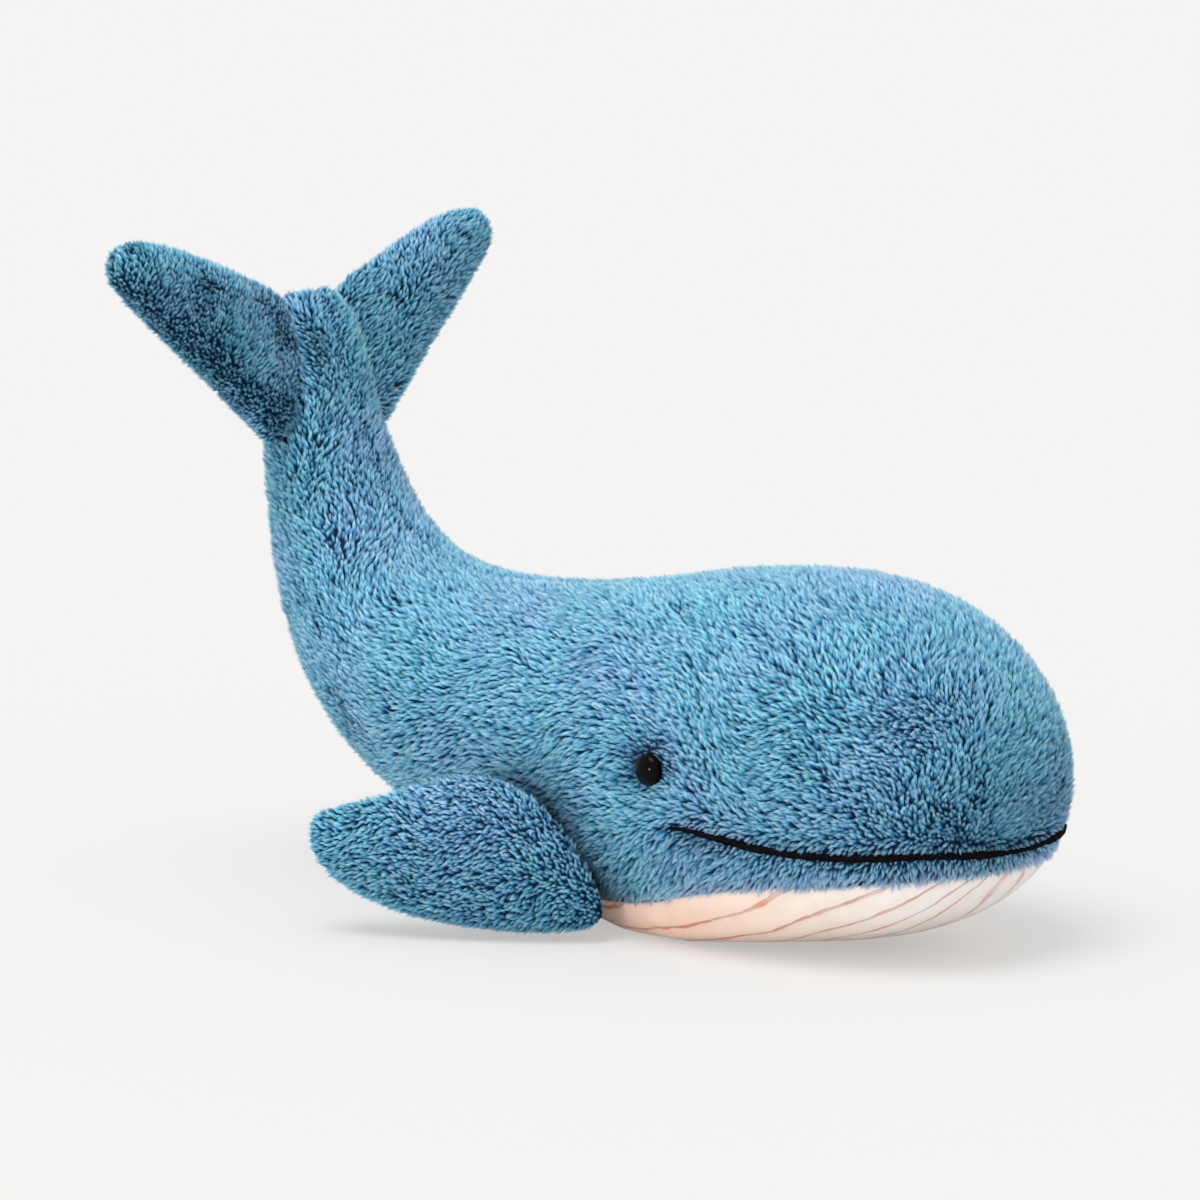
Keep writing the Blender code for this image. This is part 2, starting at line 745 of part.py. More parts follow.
def limbs(surface, cutters, parts):
    """The two flippers and the two flukes."""
    plans = {
        "flipper": {
            "root": (FLIPPER_ROOT_BOTTOM_SHARES, FLIPPER_ROOT_TOP_SHARES),
            "rows": FLIPPER_ROW_SHARES,
            "length": FLIPPER_LENGTH,
            "chord": FLIPPER_CHORD,
            "thickness": FLIPPER_THICKNESS,
            "edge": FLIPPER_EDGE_THICKNESS,
            "draw": FLIPPER_ROOT_DRAW,
            "splay": FLIPPER_SPLAY_DEG,
            "faces": ("inner", "outer"),
        },
        "fluke": {
            "root": (FLUKE_ROOT_BOTTOM_SHARES, FLUKE_ROOT_TOP_SHARES),
            "rows": FLUKE_ROW_SHARES,
            "length": FLUKE_REACH,
            "chord": FLUKE_CHORD,
            "thickness": FLUKE_THICKNESS,
            "edge": FLUKE_EDGE_THICKNESS,
            "draw": FLUKE_ROOT_DRAW,
            "splay": FLUKE_SPLAY_DEG,
            "faces": ("rear", "front"),
        },
    }
    for base, plan in plans.items():
        for side in (-1, 1):
            limb(base, plan, side, surface, cutters, parts)


def pouch_form(name, depth, group):
    """A flat round bag, drawn in at its edge, less a depth all round."""
    half_height = POUCH_HEIGHT / 2 - depth
    steps = POUCH_RING_POINTS // 4
    mesh = bmesh.new()
    bmesh.ops.create_uvsphere(
        mesh, u_segments=POUCH_RING_POINTS, v_segments=2 * steps, radius=1.0
    )
    size = (POUCH_LENGTH / 2 - depth, POUCH_WIDTH / 2 - depth, half_height)
    middle = Vector((
        body_x(POUCH_MIDDLE_SHARE),
        0,
        BELLY_CLOTH_THICKNESS + FIT_GAP + POUCH_HEIGHT / 2,
    ))
    matrix = Matrix.Translation(middle) @ Matrix.Diagonal((*size, 1.0))
    bmesh.ops.transform(mesh, matrix=matrix, verts=mesh.verts)
    data = bpy.data.meshes.new(name)
    mesh.to_mesh(data)
    mesh.free()
    return add_object(name, data, group), middle


def pellet_pouch(wads, cutters, parts):
    """Two round cloths sewn at their edge over the pellets that weigh the belly down."""
    size = CUTTER_REACH
    for word, side in (("upper", 1), ("lower", -1)):
        cloth, middle = pouch_form(f"pouch_{word}_cloth", 0, parts)
        cloth.data.materials.append(material("pouch_cloth"))
        skin(cloth, POUCH_CLOTH_THICKNESS)
        near, far = sorted((side * SEAM_GAP / 2, side * size))
        low = (-size, -size, middle.z + near)
        high = (size, size, middle.z + far)
        boolean(cloth, "INTERSECT", box(f"pouch_{word}_side", low, high, cutters))
    fill, _ = pouch_form("pellet_fill", 0, parts)
    fill.data.materials.append(material("pellets"))
    shrink(fill, POUCH_CLOTH_THICKNESS + FIT_GAP)
    pocket, middle = pouch_form("pouch_pocket", -FIT_GAP, cutters)
    as_guide(pocket)
    for point in pocket.data.vertices:
        if point.co.z < middle.z - FIT_GAP:
            point.co.z = -POUCH_HEIGHT
    boolean(wads["head_filling"], "DIFFERENCE", pocket)
    boolean(wads["trunk_filling"], "DIFFERENCE", pocket)


def main():
    clear_scene()
    parts = collection("plush_whale")
    cutters = collection("cutters")
    form = body_form(cutters)
    surface = surface_of(form)
    panels = body_panels(form, cutters, parts)
    wads = body_filling(form, cutters, parts)
    eyes(surface, panels, wads, cutters, parts)
    mouth_cord(surface, parts)
    pellet_pouch(wads, cutters, parts)
    limbs(surface, cutters, parts)
    for item in bpy.data.objects:
        if item.type == "MESH":
            item.data.shade_smooth()


main()
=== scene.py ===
# %% [markdown]
# # A plush whale
# A soft toy whale in blue long-pile plush, with a cream belly, a stitched mouth and two button eyes.
# The solid model gives every piece its place. This lesson dresses those solids: it grows fur on the
# cloth, sews the grooves of the belly, and polishes the eyes. Each piece keeps the place of the solid
# it stands for, and the flippers are parented to bodies of their own.

# %% Load the solid model
import math
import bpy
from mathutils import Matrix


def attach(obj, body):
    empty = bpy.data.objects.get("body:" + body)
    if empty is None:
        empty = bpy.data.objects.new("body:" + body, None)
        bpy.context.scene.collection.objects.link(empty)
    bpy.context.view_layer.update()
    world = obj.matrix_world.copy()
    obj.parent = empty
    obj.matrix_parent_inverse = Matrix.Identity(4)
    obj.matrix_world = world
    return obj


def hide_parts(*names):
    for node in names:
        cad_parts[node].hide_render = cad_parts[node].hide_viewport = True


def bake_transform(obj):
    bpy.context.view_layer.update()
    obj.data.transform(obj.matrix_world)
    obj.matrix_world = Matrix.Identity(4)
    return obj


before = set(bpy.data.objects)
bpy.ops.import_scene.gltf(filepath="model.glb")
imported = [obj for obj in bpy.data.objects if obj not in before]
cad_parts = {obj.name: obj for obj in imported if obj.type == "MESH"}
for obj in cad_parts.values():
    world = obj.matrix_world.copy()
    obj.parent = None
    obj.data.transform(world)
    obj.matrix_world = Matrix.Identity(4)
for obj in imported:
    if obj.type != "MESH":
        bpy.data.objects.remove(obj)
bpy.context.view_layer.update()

from types import SimpleNamespace

import bpy
import numpy as np
from mathutils import Matrix, Vector, noise
from mathutils.bvhtree import BVHTree
from mathutils.kdtree import KDTree

# %% [markdown]
# ## Camera
# The photograph looks at the whale's right side from the front, a little above the floor. The long lens
# keeps the near fin and the far tail at their own sizes. A camera is placed by three directions:
# to its right, up, and back from what it looks at.

# %% Place the camera
VIEW_AZIMUTH, VIEW_ELEVATION = math.radians(38), math.radians(8.5)
VIEW_DISTANCE, VIEW_WIDTH = 3.0, 0.6
AIM_RIGHT, AIM_UP = -0.080, 0.1635
SENSOR_WIDTH = 36
FARTHEST_SHOWN = 200
right = Vector((math.cos(VIEW_AZIMUTH), math.sin(VIEW_AZIMUTH), 0))
back = Vector((
    math.sin(VIEW_AZIMUTH) * math.cos(VIEW_ELEVATION),
    -math.cos(VIEW_AZIMUTH) * math.cos(VIEW_ELEVATION),
    math.sin(VIEW_ELEVATION),
))
up = back.cross(right)
looked_at = AIM_RIGHT * right + AIM_UP * up
bpy.ops.object.camera_add(location=looked_at + VIEW_DISTANCE * back)
camera = bpy.context.object
camera.rotation_euler = Matrix((right, up, back)).transposed().to_euler()
camera.data.sensor_width = SENSOR_WIDTH
camera.data.lens = SENSOR_WIDTH * VIEW_DISTANCE / VIEW_WIDTH
camera.data.clip_end = FARTHEST_SHOWN
bpy.context.scene.camera = camera
bpy.context.scene.view_settings.view_transform = "Standard"
print("camera at", camera.location)

# %% [markdown]
# ## Helpers for objects
# Most steps pick one object, change it in edit mode and apply a modifier. A few short functions do that,
# so the later cells show only what is special about each piece.

# %% Pick, copy and finish a piece
MERGE_DISTANCE = 0.00001


def pick(piece):
    """Leaves one object selected and active."""
    bpy.ops.object.select_all(action="DESELECT")
    piece.select_set(True)
    bpy.context.view_layer.objects.active = piece


def drop_maps(piece):
    """Removes the maps that a solid or a primitive comes with."""
    while piece.data.uv_layers:
        piece.data.uv_layers.remove(piece.data.uv_layers[0])


def copy_of(node, name):
    """A copy of a solid with a mesh of its own, whose loose triangles are joined."""
    piece = bpy.data.objects.new(name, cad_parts[node].data.copy())
    bpy.context.scene.collection.objects.link(piece)
    piece.data.materials.clear()
    pick(piece)
    bpy.ops.object.mode_set(mode="EDIT")
    bpy.ops.mesh.select_all(action="SELECT")
    bpy.ops.mesh.customdata_custom_splitnormals_clear()
    bpy.ops.mesh.remove_doubles(threshold=MERGE_DISTANCE)
    bpy.ops.object.mode_set(mode="OBJECT")
    drop_maps(piece)
    return piece


def apply_modifier(piece, kind, **settings):
    """Adds a modifier with these settings and applies it."""
    modifier = piece.modifiers.new(kind, kind)
    for setting, value in settings.items():
        setattr(modifier, setting, value)
    pick(piece)
    bpy.ops.object.modifier_apply(modifier=modifier.name)


def subdivide(piece, levels):
    apply_modifier(piece, "SUBSURF", levels=levels, render_levels=levels)


def select_faces(piece, wanted):
    """Enters edit mode with the faces selected for which wanted(face) is true."""
    pick(piece)
    bpy.context.tool_settings.mesh_select_mode = (False, False, True)
    bpy.ops.object.mode_set(mode="EDIT")
    bpy.ops.mesh.select_all(action="DESELECT")
    bpy.ops.object.mode_set(mode="OBJECT")
    for face in piece.data.polygons:
        face.select = wanted(face)
    bpy.ops.object.mode_set(mode="EDIT")


# %% [markdown]
# ## Helpers for points
# Cloth is shaped by numbers at its points. A change over a cloth nearly always fades in from one place to
# another, or is strongest on a line, so both forms have a function. Where a name holds a pair of numbers
# for a fade, the first says where it starts and the second how wide it is.

# %% Read, move and compare points
def coordinates(mesh):
    points = np.empty(len(mesh.vertices) * 3)
    mesh.vertices.foreach_get("co", points)
    return points.reshape(-1, 3)


def normals(mesh):
    found = np.empty(len(mesh.vertices) * 3, np.float32)
    mesh.vertex_normals.foreach_get("vector", found)
    return found.reshape(-1, 3)


def move_points(piece, points):
    piece.data.vertices.foreach_set("co", points.ravel())
    piece.data.update()


def store(piece, name, kind, values):
    """Keeps one number or vector for each point of a mesh."""
    layer = piece.data.attributes.new(name, kind, "POINT")
    layer.data.foreach_set("vector" if "VECTOR" in kind else "value", np.ravel(values))


def fade_in(value, start, width):
    """0 up to the start, 1 from a width past it, and even between. A width below 0 counts downwards."""
    return np.clip((value - start) / width, 0, 1)


def bump_at(distance, width):
    """1 on a line, falling smoothly to 0 beside it."""
    return np.exp(-((distance / width) ** 2))


def solid_tree(names):
    """A search tree over the faces of several solids."""
    points, faces = [], []
    for name in names:
        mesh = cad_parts[name].data
        faces += [[len(points) + i for i in face.vertices] for face in mesh.polygons]
        points += [vertex.co.copy() for vertex in mesh.vertices]
    return BVHTree.FromPolygons(points, faces)


# %% [markdown]
# ## Helpers for nodes
# A finish is a tree of nodes, and so is the fur. Each function adds one kind of node and gives back what
# comes out of it, so that a tree reads like a sum.

# %% Add and join nodes
def add_node(tree, kind, inputs=None, **settings):
    """Adds a node, sets it, and gives its inputs a value or a link each."""
    node = tree.nodes.new(kind)
    for setting, value in settings.items():
        setattr(node, setting, value)
    for place, value in (inputs or {}).items():
        if isinstance(value, bpy.types.NodeSocket):
            tree.links.new(value, node.inputs[place])
        else:
            node.inputs[place].default_value = value
    return node


def maths(tree, operation, first, second=0.0, third=0.0):
    return add_node(tree, "ShaderNodeMath", {0: first, 1: second, 2: third}, operation=operation).outputs[0]


def mix(tree, factor, first, second, blend="MIX"):
    inputs = {0: factor, 6: first, 7: second}
    return add_node(tree, "ShaderNodeMix", inputs, data_type="RGBA", blend_type=blend).outputs[2]


def ramp(tree, factor, stops):
    """A colour ramp over these (place, colour) stops."""
    node = add_node(tree, "ShaderNodeValToRGB", {0: factor})
    while len(node.color_ramp.elements) < len(stops):
        node.color_ramp.elements.new(0.5)
    for element, (place, colour) in zip(node.color_ramp.elements, stops):
        element.position, element.color = place, (*colour, 1)
    return node.outputs[0]


def attribute(tree, name):
    """A number that the mesh keeps at its points."""
    return add_node(tree, "ShaderNodeAttribute", attribute_name=name).outputs["Fac"]


def object_place(tree):
    return add_node(tree, "ShaderNodeTexCoord").outputs["Object"]


def clouds(tree, scale, detail=2.0):
    """Soft noise over the piece's own place."""
    inputs = {"Vector": object_place(tree), "Scale": scale, "Detail": detail}
    return add_node(tree, "ShaderNodeTexNoise", inputs).outputs["Fac"]


def principled(name, colour=(0.5, 0.5, 0.5, 1), roughness=0.5, **sockets):
    """A material with one Principled BSDF, and the sockets that stay the same all over it."""
    material = bpy.data.materials.new(name)
    material.use_nodes = True
    shader = material.node_tree.nodes["Principled BSDF"]
    shader.inputs["Base Color"].default_value = colour
    shader.inputs["Roughness"].default_value = roughness
    for socket, value in sockets.items():
        shader.inputs[socket.replace("_", " ")].default_value = value
    return material, material.node_tree, shader


# %% [markdown]
# ## Floor and light
# The whale lies on a plain pale floor that fills the picture, under one wide soft lamp from above and an
# even sky. The camera sees plain pale in place of the sky, also in a mirror or through glass, while the
# sky's own glow lights the fur. The floor shows the camera half of that pale, so that the shadow on it
# stays light, as under a photographer's tent.

# %% Build the floor, the sky and the lamp
FLOOR_SIZE, FLOOR_DROP = 60, 0.0004
FLOOR_COLOUR = (0.70, 0.693, 0.68, 1)
PALE = (0.905, 0.895, 0.88, 1)
TENT_SHARE = 0.5
SKY_COLOUR, SKY_GLOW = (0.95, 0.97, 1, 1), 0.80
LAMP_STRENGTH, LAMP_SPREAD = 1.85, math.radians(35)
LAMP_RIGHT, LAMP_BACK, LAMP_UP = -0.25, 0.35, 0.9


def seen_by_camera(tree):
    """1 for what the camera sees, also in a mirror or through glass, and 0 for what lights the toy."""
    path = add_node(tree, "ShaderNodeLightPath").outputs
    straight = maths(tree, "MAXIMUM", path["Is Camera Ray"], path["Is Glossy Ray"])
    return maths(tree, "MAXIMUM", straight, path["Is Transmission Ray"])


bpy.ops.mesh.primitive_plane_add(size=FLOOR_SIZE, location=(0, 0, -FLOOR_DROP))
floor = bpy.context.object
floor.name = "floor"
floor_finish, tree, shader = principled("pale floor", FLOOR_COLOUR, 0.9, Specular_IOR_Level=0.1)
shown = maths(tree, "MULTIPLY", seen_by_camera(tree), TENT_SHARE)
paper = add_node(tree, "ShaderNodeEmission", {"Color": PALE, "Strength": 1.0})
tent = add_node(tree, "ShaderNodeMixShader", {0: shown, 1: shader.outputs[0], 2: paper.outputs[0]})
tree.links.new(tent.outputs[0], tree.nodes["Material Output"].inputs["Surface"])
floor.data.materials.append(floor_finish)

world = bpy.data.worlds.new("soft sky")
bpy.context.scene.world = world
world.use_nodes = True
sky = world.node_tree
sky.nodes.clear()
glow = add_node(sky, "ShaderNodeBackground", {"Color": SKY_COLOUR, "Strength": SKY_GLOW}).outputs[0]
plain = add_node(sky, "ShaderNodeBackground", {"Color": PALE, "Strength": 1}).outputs[0]
either = add_node(sky, "ShaderNodeMixShader", {0: seen_by_camera(sky), 1: glow, 2: plain}).outputs[0]
add_node(sky, "ShaderNodeOutputWorld", {"Surface": either})

bpy.ops.object.light_add(type="SUN", rotation=(0, 0, 0))
lamp = bpy.context.object
lamp.data.energy = LAMP_STRENGTH
lamp.data.angle = LAMP_SPREAD
lamp_from = LAMP_RIGHT * right + LAMP_BACK * back + Vector((0, 0, LAMP_UP))
lamp.rotation_euler = lamp_from.to_track_quat("Z", "Y").to_euler()
print("lamp shines from", lamp_from.normalized())

# %% [markdown]
# ## Blue plush
# Long-pile plush is pale at the tips of its hairs, and no two locks have quite the same blue. Its dark
# feet are partly painted shade, for the shade deep between the hairs. The colour is read from numbers
# that every hair carries: how near its tip a point is, the lock's own tint, how pale its tips are, with a
# painted highlight on the upper lip, and how much painted shade its place on the cloth has. Slow drifts
# towards teal and lavender come from the place on the body.

# %% Make the plush finish
# The near-black feet of this ramp are partly painted shade, for the shade deep between the hairs.
FOOT_TO_TIP = (
    (0.0, (0.002, 0.018, 0.050)),
    (0.2, (0.008, 0.095, 0.210)),
    (0.5, (0.150, 0.600, 0.880)),
    (1.0, (0.760, 1.000, 1.000)),
)
LOCK_TINTS = ((0.0, (0.32, 0.46, 0.59)), (0.5, (0.93, 0.98, 1.0)), (1.0, (1.32, 1.10, 1.02)))
TEAL_TO_LAVENDER = ((0.32, (0.92, 1.04, 0.99)), (0.5, (1, 1, 1)), (0.68, (1.18, 0.97, 1.04)))
# The pale tip colour is partly a painted highlight, and the deep shade is painted shade.
PALE_TIP_COLOUR, DEEP_SHADE = (0.70, 0.84, 1.0, 1), (0.004, 0.024, 0.070, 1)

plush, tree, shader = principled(
    "blue plush", roughness=0.6, Specular_IOR_Level=0.15, Sheen_Weight=0.12, Sheen_Roughness=0.35,
    Sheen_Tint=(0.55, 0.85, 1.0, 1)
)
tip = attribute(tree, "tip")
own_tint = ramp(tree, attribute(tree, "tint"), LOCK_TINTS)
locks = mix(tree, 1.0, ramp(tree, tip, FOOT_TO_TIP), own_tint, "MULTIPLY")
# Pale tips: a painted highlight on the upper lip's edge, and paler tips where the plush meets the belly.
locks = mix(tree, maths(tree, "MULTIPLY", attribute(tree, "faded"), tip), locks, PALE_TIP_COLOUR)
locks = mix(tree, attribute(tree, "shaded"), locks, DEEP_SHADE)
drift = ramp(tree, clouds(tree, 14.0), TEAL_TO_LAVENDER)
tree.links.new(mix(tree, 1.0, locks, drift, "MULTIPLY"), shader.inputs["Base Color"])
print("finish:", plush.name)

# %% [markdown]
# ## Grain
# Yarn, velour, fibre, moulded plastic and the dust on an eye are all fine and uneven when seen close.
# They share one node group: fine noise, and the slope of the relief that it would raise. Each finish
# gives it a scale and a depth of its own.

# %% Build the grain as a node group
def grain_group():
    group = bpy.data.node_groups.new("grain", "ShaderNodeTree")
    for name in ("Scale", "Detail", "Distortion", "Strength", "Distance"):
        group.interface.new_socket(name, in_out="INPUT", socket_type="NodeSocketFloat")
    group.interface.new_socket("Value", in_out="OUTPUT", socket_type="NodeSocketFloat")
    group.interface.new_socket("Normal", in_out="OUTPUT", socket_type="NodeSocketVector")
    given = group.nodes.new("NodeGroupInput").outputs
    speckle = {name: given[name] for name in ("Scale", "Detail", "Distortion")}
    speckle["Vector"] = object_place(group)
    value = add_node(group, "ShaderNodeTexNoise", speckle).outputs["Fac"]
    relief = {"Height": value, "Strength": given["Strength"], "Distance": given["Distance"]}
    slope = add_node(group, "ShaderNodeBump", relief).outputs[0]
    given_back = group.nodes.new("NodeGroupOutput").inputs
    group.links.new(value, given_back["Value"])
    group.links.new(slope, given_back["Normal"])
    return group


GRAIN = grain_group()


def grain(tree, scale, detail, distortion=0.0, strength=0.0, distance=0.0):
    """The grain's value and its slope. Strength and distance say how deep the slope is."""
    node = tree.nodes.new("ShaderNodeGroup")
    node.node_tree = GRAIN
    for socket, value in zip(node.inputs, (scale, detail, distortion, strength, distance)):
        socket.default_value = value
    return node.outputs["Value"], node.outputs["Normal"]


def finish_with(tree, shader, value, stops, slope):
    """Colours a finish by a value, and gives it a slope."""
    tree.links.new(ramp(tree, value, stops), shader.inputs["Base Color"])
    tree.links.new(slope, shader.inputs["Normal"])


print("grain:", len(GRAIN.nodes), "nodes")

# %% [markdown]
# ## One lock of fur
# Fur is thousands of copies of one small shape. A lock is six thin spikes whose feet stand apart and
# whose tips lean together, as damp or brushed hairs do. Each spike is a three-sided cone without its
# base, so a lock is only eighteen triangles, and a whole coat stays light.

# %% Model the lock
PILE_LENGTH = 0.0056
HAIR_RADIUS = 0.00032
HAIR_TURN = 0.4
HAIR_LENGTHS = (1.0, 0.86, 0.93, 0.78, 0.9, 0.7)
FEET = ((0, 0), (0.95, 0.2), (-0.5, 0.85), (-0.9, -0.35), (0.3, -0.95), (0.55, 0.7))
FEET_RADIUS = 0.00085
TIP_SPREAD = 0.5
PALE_FROM = 0.95


def lock():
    """A lock that stands on the origin and points up."""
    hairs = []
    for number, ((x, y), length) in enumerate(zip(FEET, HAIR_LENGTHS)):
        bpy.ops.mesh.primitive_cone_add(
            vertices=3, radius1=HAIR_RADIUS, radius2=0, depth=1, end_fill_type="NOTHING",
            rotation=(0, 0, HAIR_TURN + number),
        )
        hair = bpy.context.object
        bpy.ops.object.transform_apply()
        foot = Vector((x, y, 0)) * FEET_RADIUS
        for vertex in hair.data.vertices:
            high = vertex.co.z > 0
            vertex.co.z = PILE_LENGTH * length if high else 0
            vertex.co += foot * (TIP_SPREAD if high else 1)
        hairs.append(hair)
    bpy.ops.object.select_all(action="DESELECT")
    for hair in hairs:
        hair.select_set(True)
    bpy.context.view_layer.objects.active = hairs[0]
    bpy.ops.object.join()
    hairs[0].name = "lock"
    bpy.ops.object.shade_smooth()
    return hairs[0]


def place_in_square(points):
    """Where each point of the lock lies in a unit square, clear of its border, from the lock's side."""
    aside = 0.3 * (points[:, 0] + 0.37 * points[:, 1]) / (FEET_RADIUS + HAIR_RADIUS) / 1.4
    return np.stack([0.5 + aside, 0.1 + 0.8 * points[:, 2] / PILE_LENGTH, 0 * points[:, 0]], 1)


lock_of_fur = lock()
points = coordinates(lock_of_fur.data)
store(lock_of_fur, "tip", "FLOAT", np.minimum(1, points[:, 2] / PILE_LENGTH / PALE_FROM))
store(lock_of_fur, "spot", "FLOAT_VECTOR", place_in_square(points))
drop_maps(lock_of_fur)
print("lock:", len(lock_of_fur.data.polygons), "triangles")

# %% [markdown]
# ## The fur coat
# Geometry Nodes sets the locks on a cloth: points are scattered evenly over it, and each gets a lock. The
# cloth tells four things at each of its points: the direction in which the pile is combed, how long it
# is, how far it leans over, and how much of it there is. Chance turns, leans and stretches each lock a
# little, so that no two stand alike.

# %% Scatter the locks and lean them
MOST_LOCKS = 1500000.0
TURN_CHANCE, LEAN_CHANCE = 0.55, 0.2
SHORTEST, LONGEST = 0.8, 1.2
FULL_TURN = 6.28


def kept(tree, name, kind="FLOAT"):
    """What the cloth or the lock keeps under this name."""
    inputs = {"Name": name}
    return add_node(tree, "GeometryNodeInputNamedAttribute", inputs, data_type=kind).outputs["Attribute"]


def between(tree, low, high, seed):
    """A number of its own for each lock."""
    inputs = {2: low, 3: high, "Seed": seed}
    return add_node(tree, "FunctionNodeRandomValue", inputs, data_type="FLOAT").outputs[1]


def vectors(tree, operation, inputs):
    return add_node(tree, "ShaderNodeVectorMath", inputs, operation=operation).outputs[0]


def stored(tree, geometry, name, value, kind, domain):
    inputs = {"Geometry": geometry, "Name": name, "Value": value}
    return add_node(tree, "GeometryNodeStoreNamedAttribute", inputs, data_type=kind, domain=domain).outputs[0]


def lock_turn(tree, upright):
    """Leans a lock from upright along its combed direction, and spins it on its own axis."""
    turned = add_node(tree, "ShaderNodeVectorRotate", {
        "Vector": kept(tree, "comb", "FLOAT_VECTOR"), "Axis": upright,
        "Angle": between(tree, -TURN_CHANCE, TURN_CHANCE, 11),
    }, rotation_type="AXIS_ANGLE").outputs[0]
    lean = maths(tree, "ADD", between(tree, -LEAN_CHANCE, LEAN_CHANCE, 12), kept(tree, "lean"))
    stands = vectors(tree, "SCALE", {0: upright, "Scale": maths(tree, "COSINE", lean)})
    lies = vectors(tree, "SCALE", {0: turned, "Scale": maths(tree, "SINE", lean)})
    along = vectors(tree, "ADD", {0: stands, 1: lies})
    leant = add_node(tree, "FunctionNodeAlignRotationToVector", {"Vector": along}, axis="Z").outputs[0]
    spin = {"Axis": (0, 0, 1), "Angle": between(tree, 0, FULL_TURN, 13)}
    spin = add_node(tree, "FunctionNodeAxisAngleToRotation", spin).outputs[0]
    both = {0: leant, 1: spin}
    return add_node(tree, "FunctionNodeRotateRotation", both, rotation_space="LOCAL").outputs[0]


def scatter_locks(tree, given):
    """Locks all over a cloth, which keep the cloth's slope under the name skin."""
    scatter = add_node(tree, "GeometryNodeDistributePointsOnFaces", {
        "Mesh": given["Geometry"], "Distance Min": given["Spacing"], "Density Max": MOST_LOCKS,
        "Density Factor": kept(tree, "cover"), "Seed": given["Seed"],
    }, distribute_method="POISSON").outputs
    longer = maths(tree, "MULTIPLY", kept(tree, "pile"), between(tree, SHORTEST, LONGEST, 14))
    wider = maths(tree, "ADD", maths(tree, "MULTIPLY", longer, 0.5), 0.5)
    feet = stored(tree, scatter["Points"], "skin", scatter["Normal"], "FLOAT_VECTOR", "POINT")
    return add_node(tree, "GeometryNodeInstanceOnPoints", {
        "Points": feet,
        "Instance": add_node(tree, "GeometryNodeObjectInfo", {"Object": given["Lock"]}).outputs["Geometry"],
        "Rotation": lock_turn(tree, scatter["Normal"]),
        "Scale": add_node(tree, "ShaderNodeCombineXYZ", {0: wider, 1: wider, 2: longer}).outputs[0],
    }).outputs[0]


# %% [markdown]
# ## A map of the fur
# Every lock gets a tint by chance, and its own small square on a map, for keeping the colours as a picture
# later. The squares are numbered in rows, while the locks are still copies. Once they are real mesh, each
# point of a lock is laid in its square.

# %% Number the locks and build the coat
MAP_STRIP = 0.07
LOWEST_HAIR = 0.0006
COAT_SOCKETS = {
    "Geometry": "Geometry", "Lock": "Object", "Spacing": "Float", "Seed": "Int", "Finish": "Material"
}


def number_locks(tree, coat):
    """Gives each lock its column and row on the map, and its tint."""
    size = add_node(tree, "GeometryNodeAttributeDomainSize", {0: coat}, component="INSTANCES")
    count = maths(tree, "MAXIMUM", size.outputs["Instance Count"], 1.0)
    across = maths(tree, "CEIL", maths(tree, "SQRT", count))
    index = add_node(tree, "GeometryNodeInputIndex").outputs[0]
    column = maths(tree, "MODULO", index, across)
    row = maths(tree, "FLOOR", maths(tree, "DIVIDE", index, across))
    cell = add_node(tree, "ShaderNodeCombineXYZ", {0: column, 1: row, 2: across}).outputs[0]
    coat = stored(tree, coat, "cell", cell, "FLOAT_VECTOR", "INSTANCE")
    return stored(tree, coat, "tint", between(tree, 0.0, 1.0, 15), "FLOAT", "INSTANCE")


def lay_on_map(tree, coat):
    """Lays each lock in its square of the map, above the strip that the backing has."""
    cell, spot = (
        add_node(tree, "ShaderNodeSeparateXYZ", {0: kept(tree, name, "FLOAT_VECTOR")}).outputs
        for name in ("cell", "spot")
    )
    u, v = (
        maths(tree, "DIVIDE", maths(tree, "ADD", cell[axis], spot[axis]), cell[2]) for axis in (0, 1)
    )
    v = maths(tree, "ADD", maths(tree, "MULTIPLY", v, 1 - MAP_STRIP), MAP_STRIP)
    on_map = add_node(tree, "ShaderNodeCombineXYZ", {0: u, 1: v}).outputs[0]
    return stored(tree, coat, "OFBake", on_map, "FLOAT2", "CORNER")


def keep_off_floor(tree, coat):
    """Hairs that would reach into the floor end just above it."""
    here = add_node(tree, "GeometryNodeInputPosition").outputs[0]
    here = add_node(tree, "ShaderNodeSeparateXYZ", {0: here}).outputs
    height = maths(tree, "MAXIMUM", here[2], LOWEST_HAIR)
    resting = add_node(tree, "ShaderNodeCombineXYZ", {0: here[0], 1: here[1], 2: height}).outputs[0]
    return add_node(tree, "GeometryNodeSetPosition", {"Geometry": coat, "Position": resting}).outputs[0]


def coat_tree():
    tree = bpy.data.node_groups.new("fur coat", "GeometryNodeTree")
    for name, kind in COAT_SOCKETS.items():
        tree.interface.new_socket(name, in_out="INPUT", socket_type=f"NodeSocket{kind}")
    tree.interface.new_socket("Geometry", in_out="OUTPUT", socket_type="NodeSocketGeometry")
    given = tree.nodes.new("NodeGroupInput").outputs
    coat = number_locks(tree, scatter_locks(tree, given))
    coat = add_node(tree, "GeometryNodeRealizeInstances", {"Geometry": coat}).outputs[0]
    coat = lay_on_map(tree, coat)
    for name in ("cell", "spot", "comb", "pile", "cover", "lean"):
        coat = add_node(tree, "GeometryNodeRemoveAttribute", {"Geometry": coat, "Name": name}).outputs[0]
    coat = keep_off_floor(tree, coat)
    finish = {"Geometry": coat, "Material": given["Finish"]}
    coat = add_node(tree, "GeometryNodeSetMaterial", finish).outputs[0]
    tree.links.new(coat, tree.nodes.new("NodeGroupOutput").inputs[0])
    return tree


fur_coat = coat_tree()
print("coat:", len(fur_coat.nodes), "nodes")

# %% [markdown]
# ## From a solid panel to a cloth
# A solid panel has an outer wall, an inner wall and cut edges. Only the outer wall carries pile. A face
# belongs to it if a ray that leaves the face meets no other part of the toy. The kept faces are made
# quads again, smoothed by one subdivision, and drawn in along their seams, where the thread pulls them.

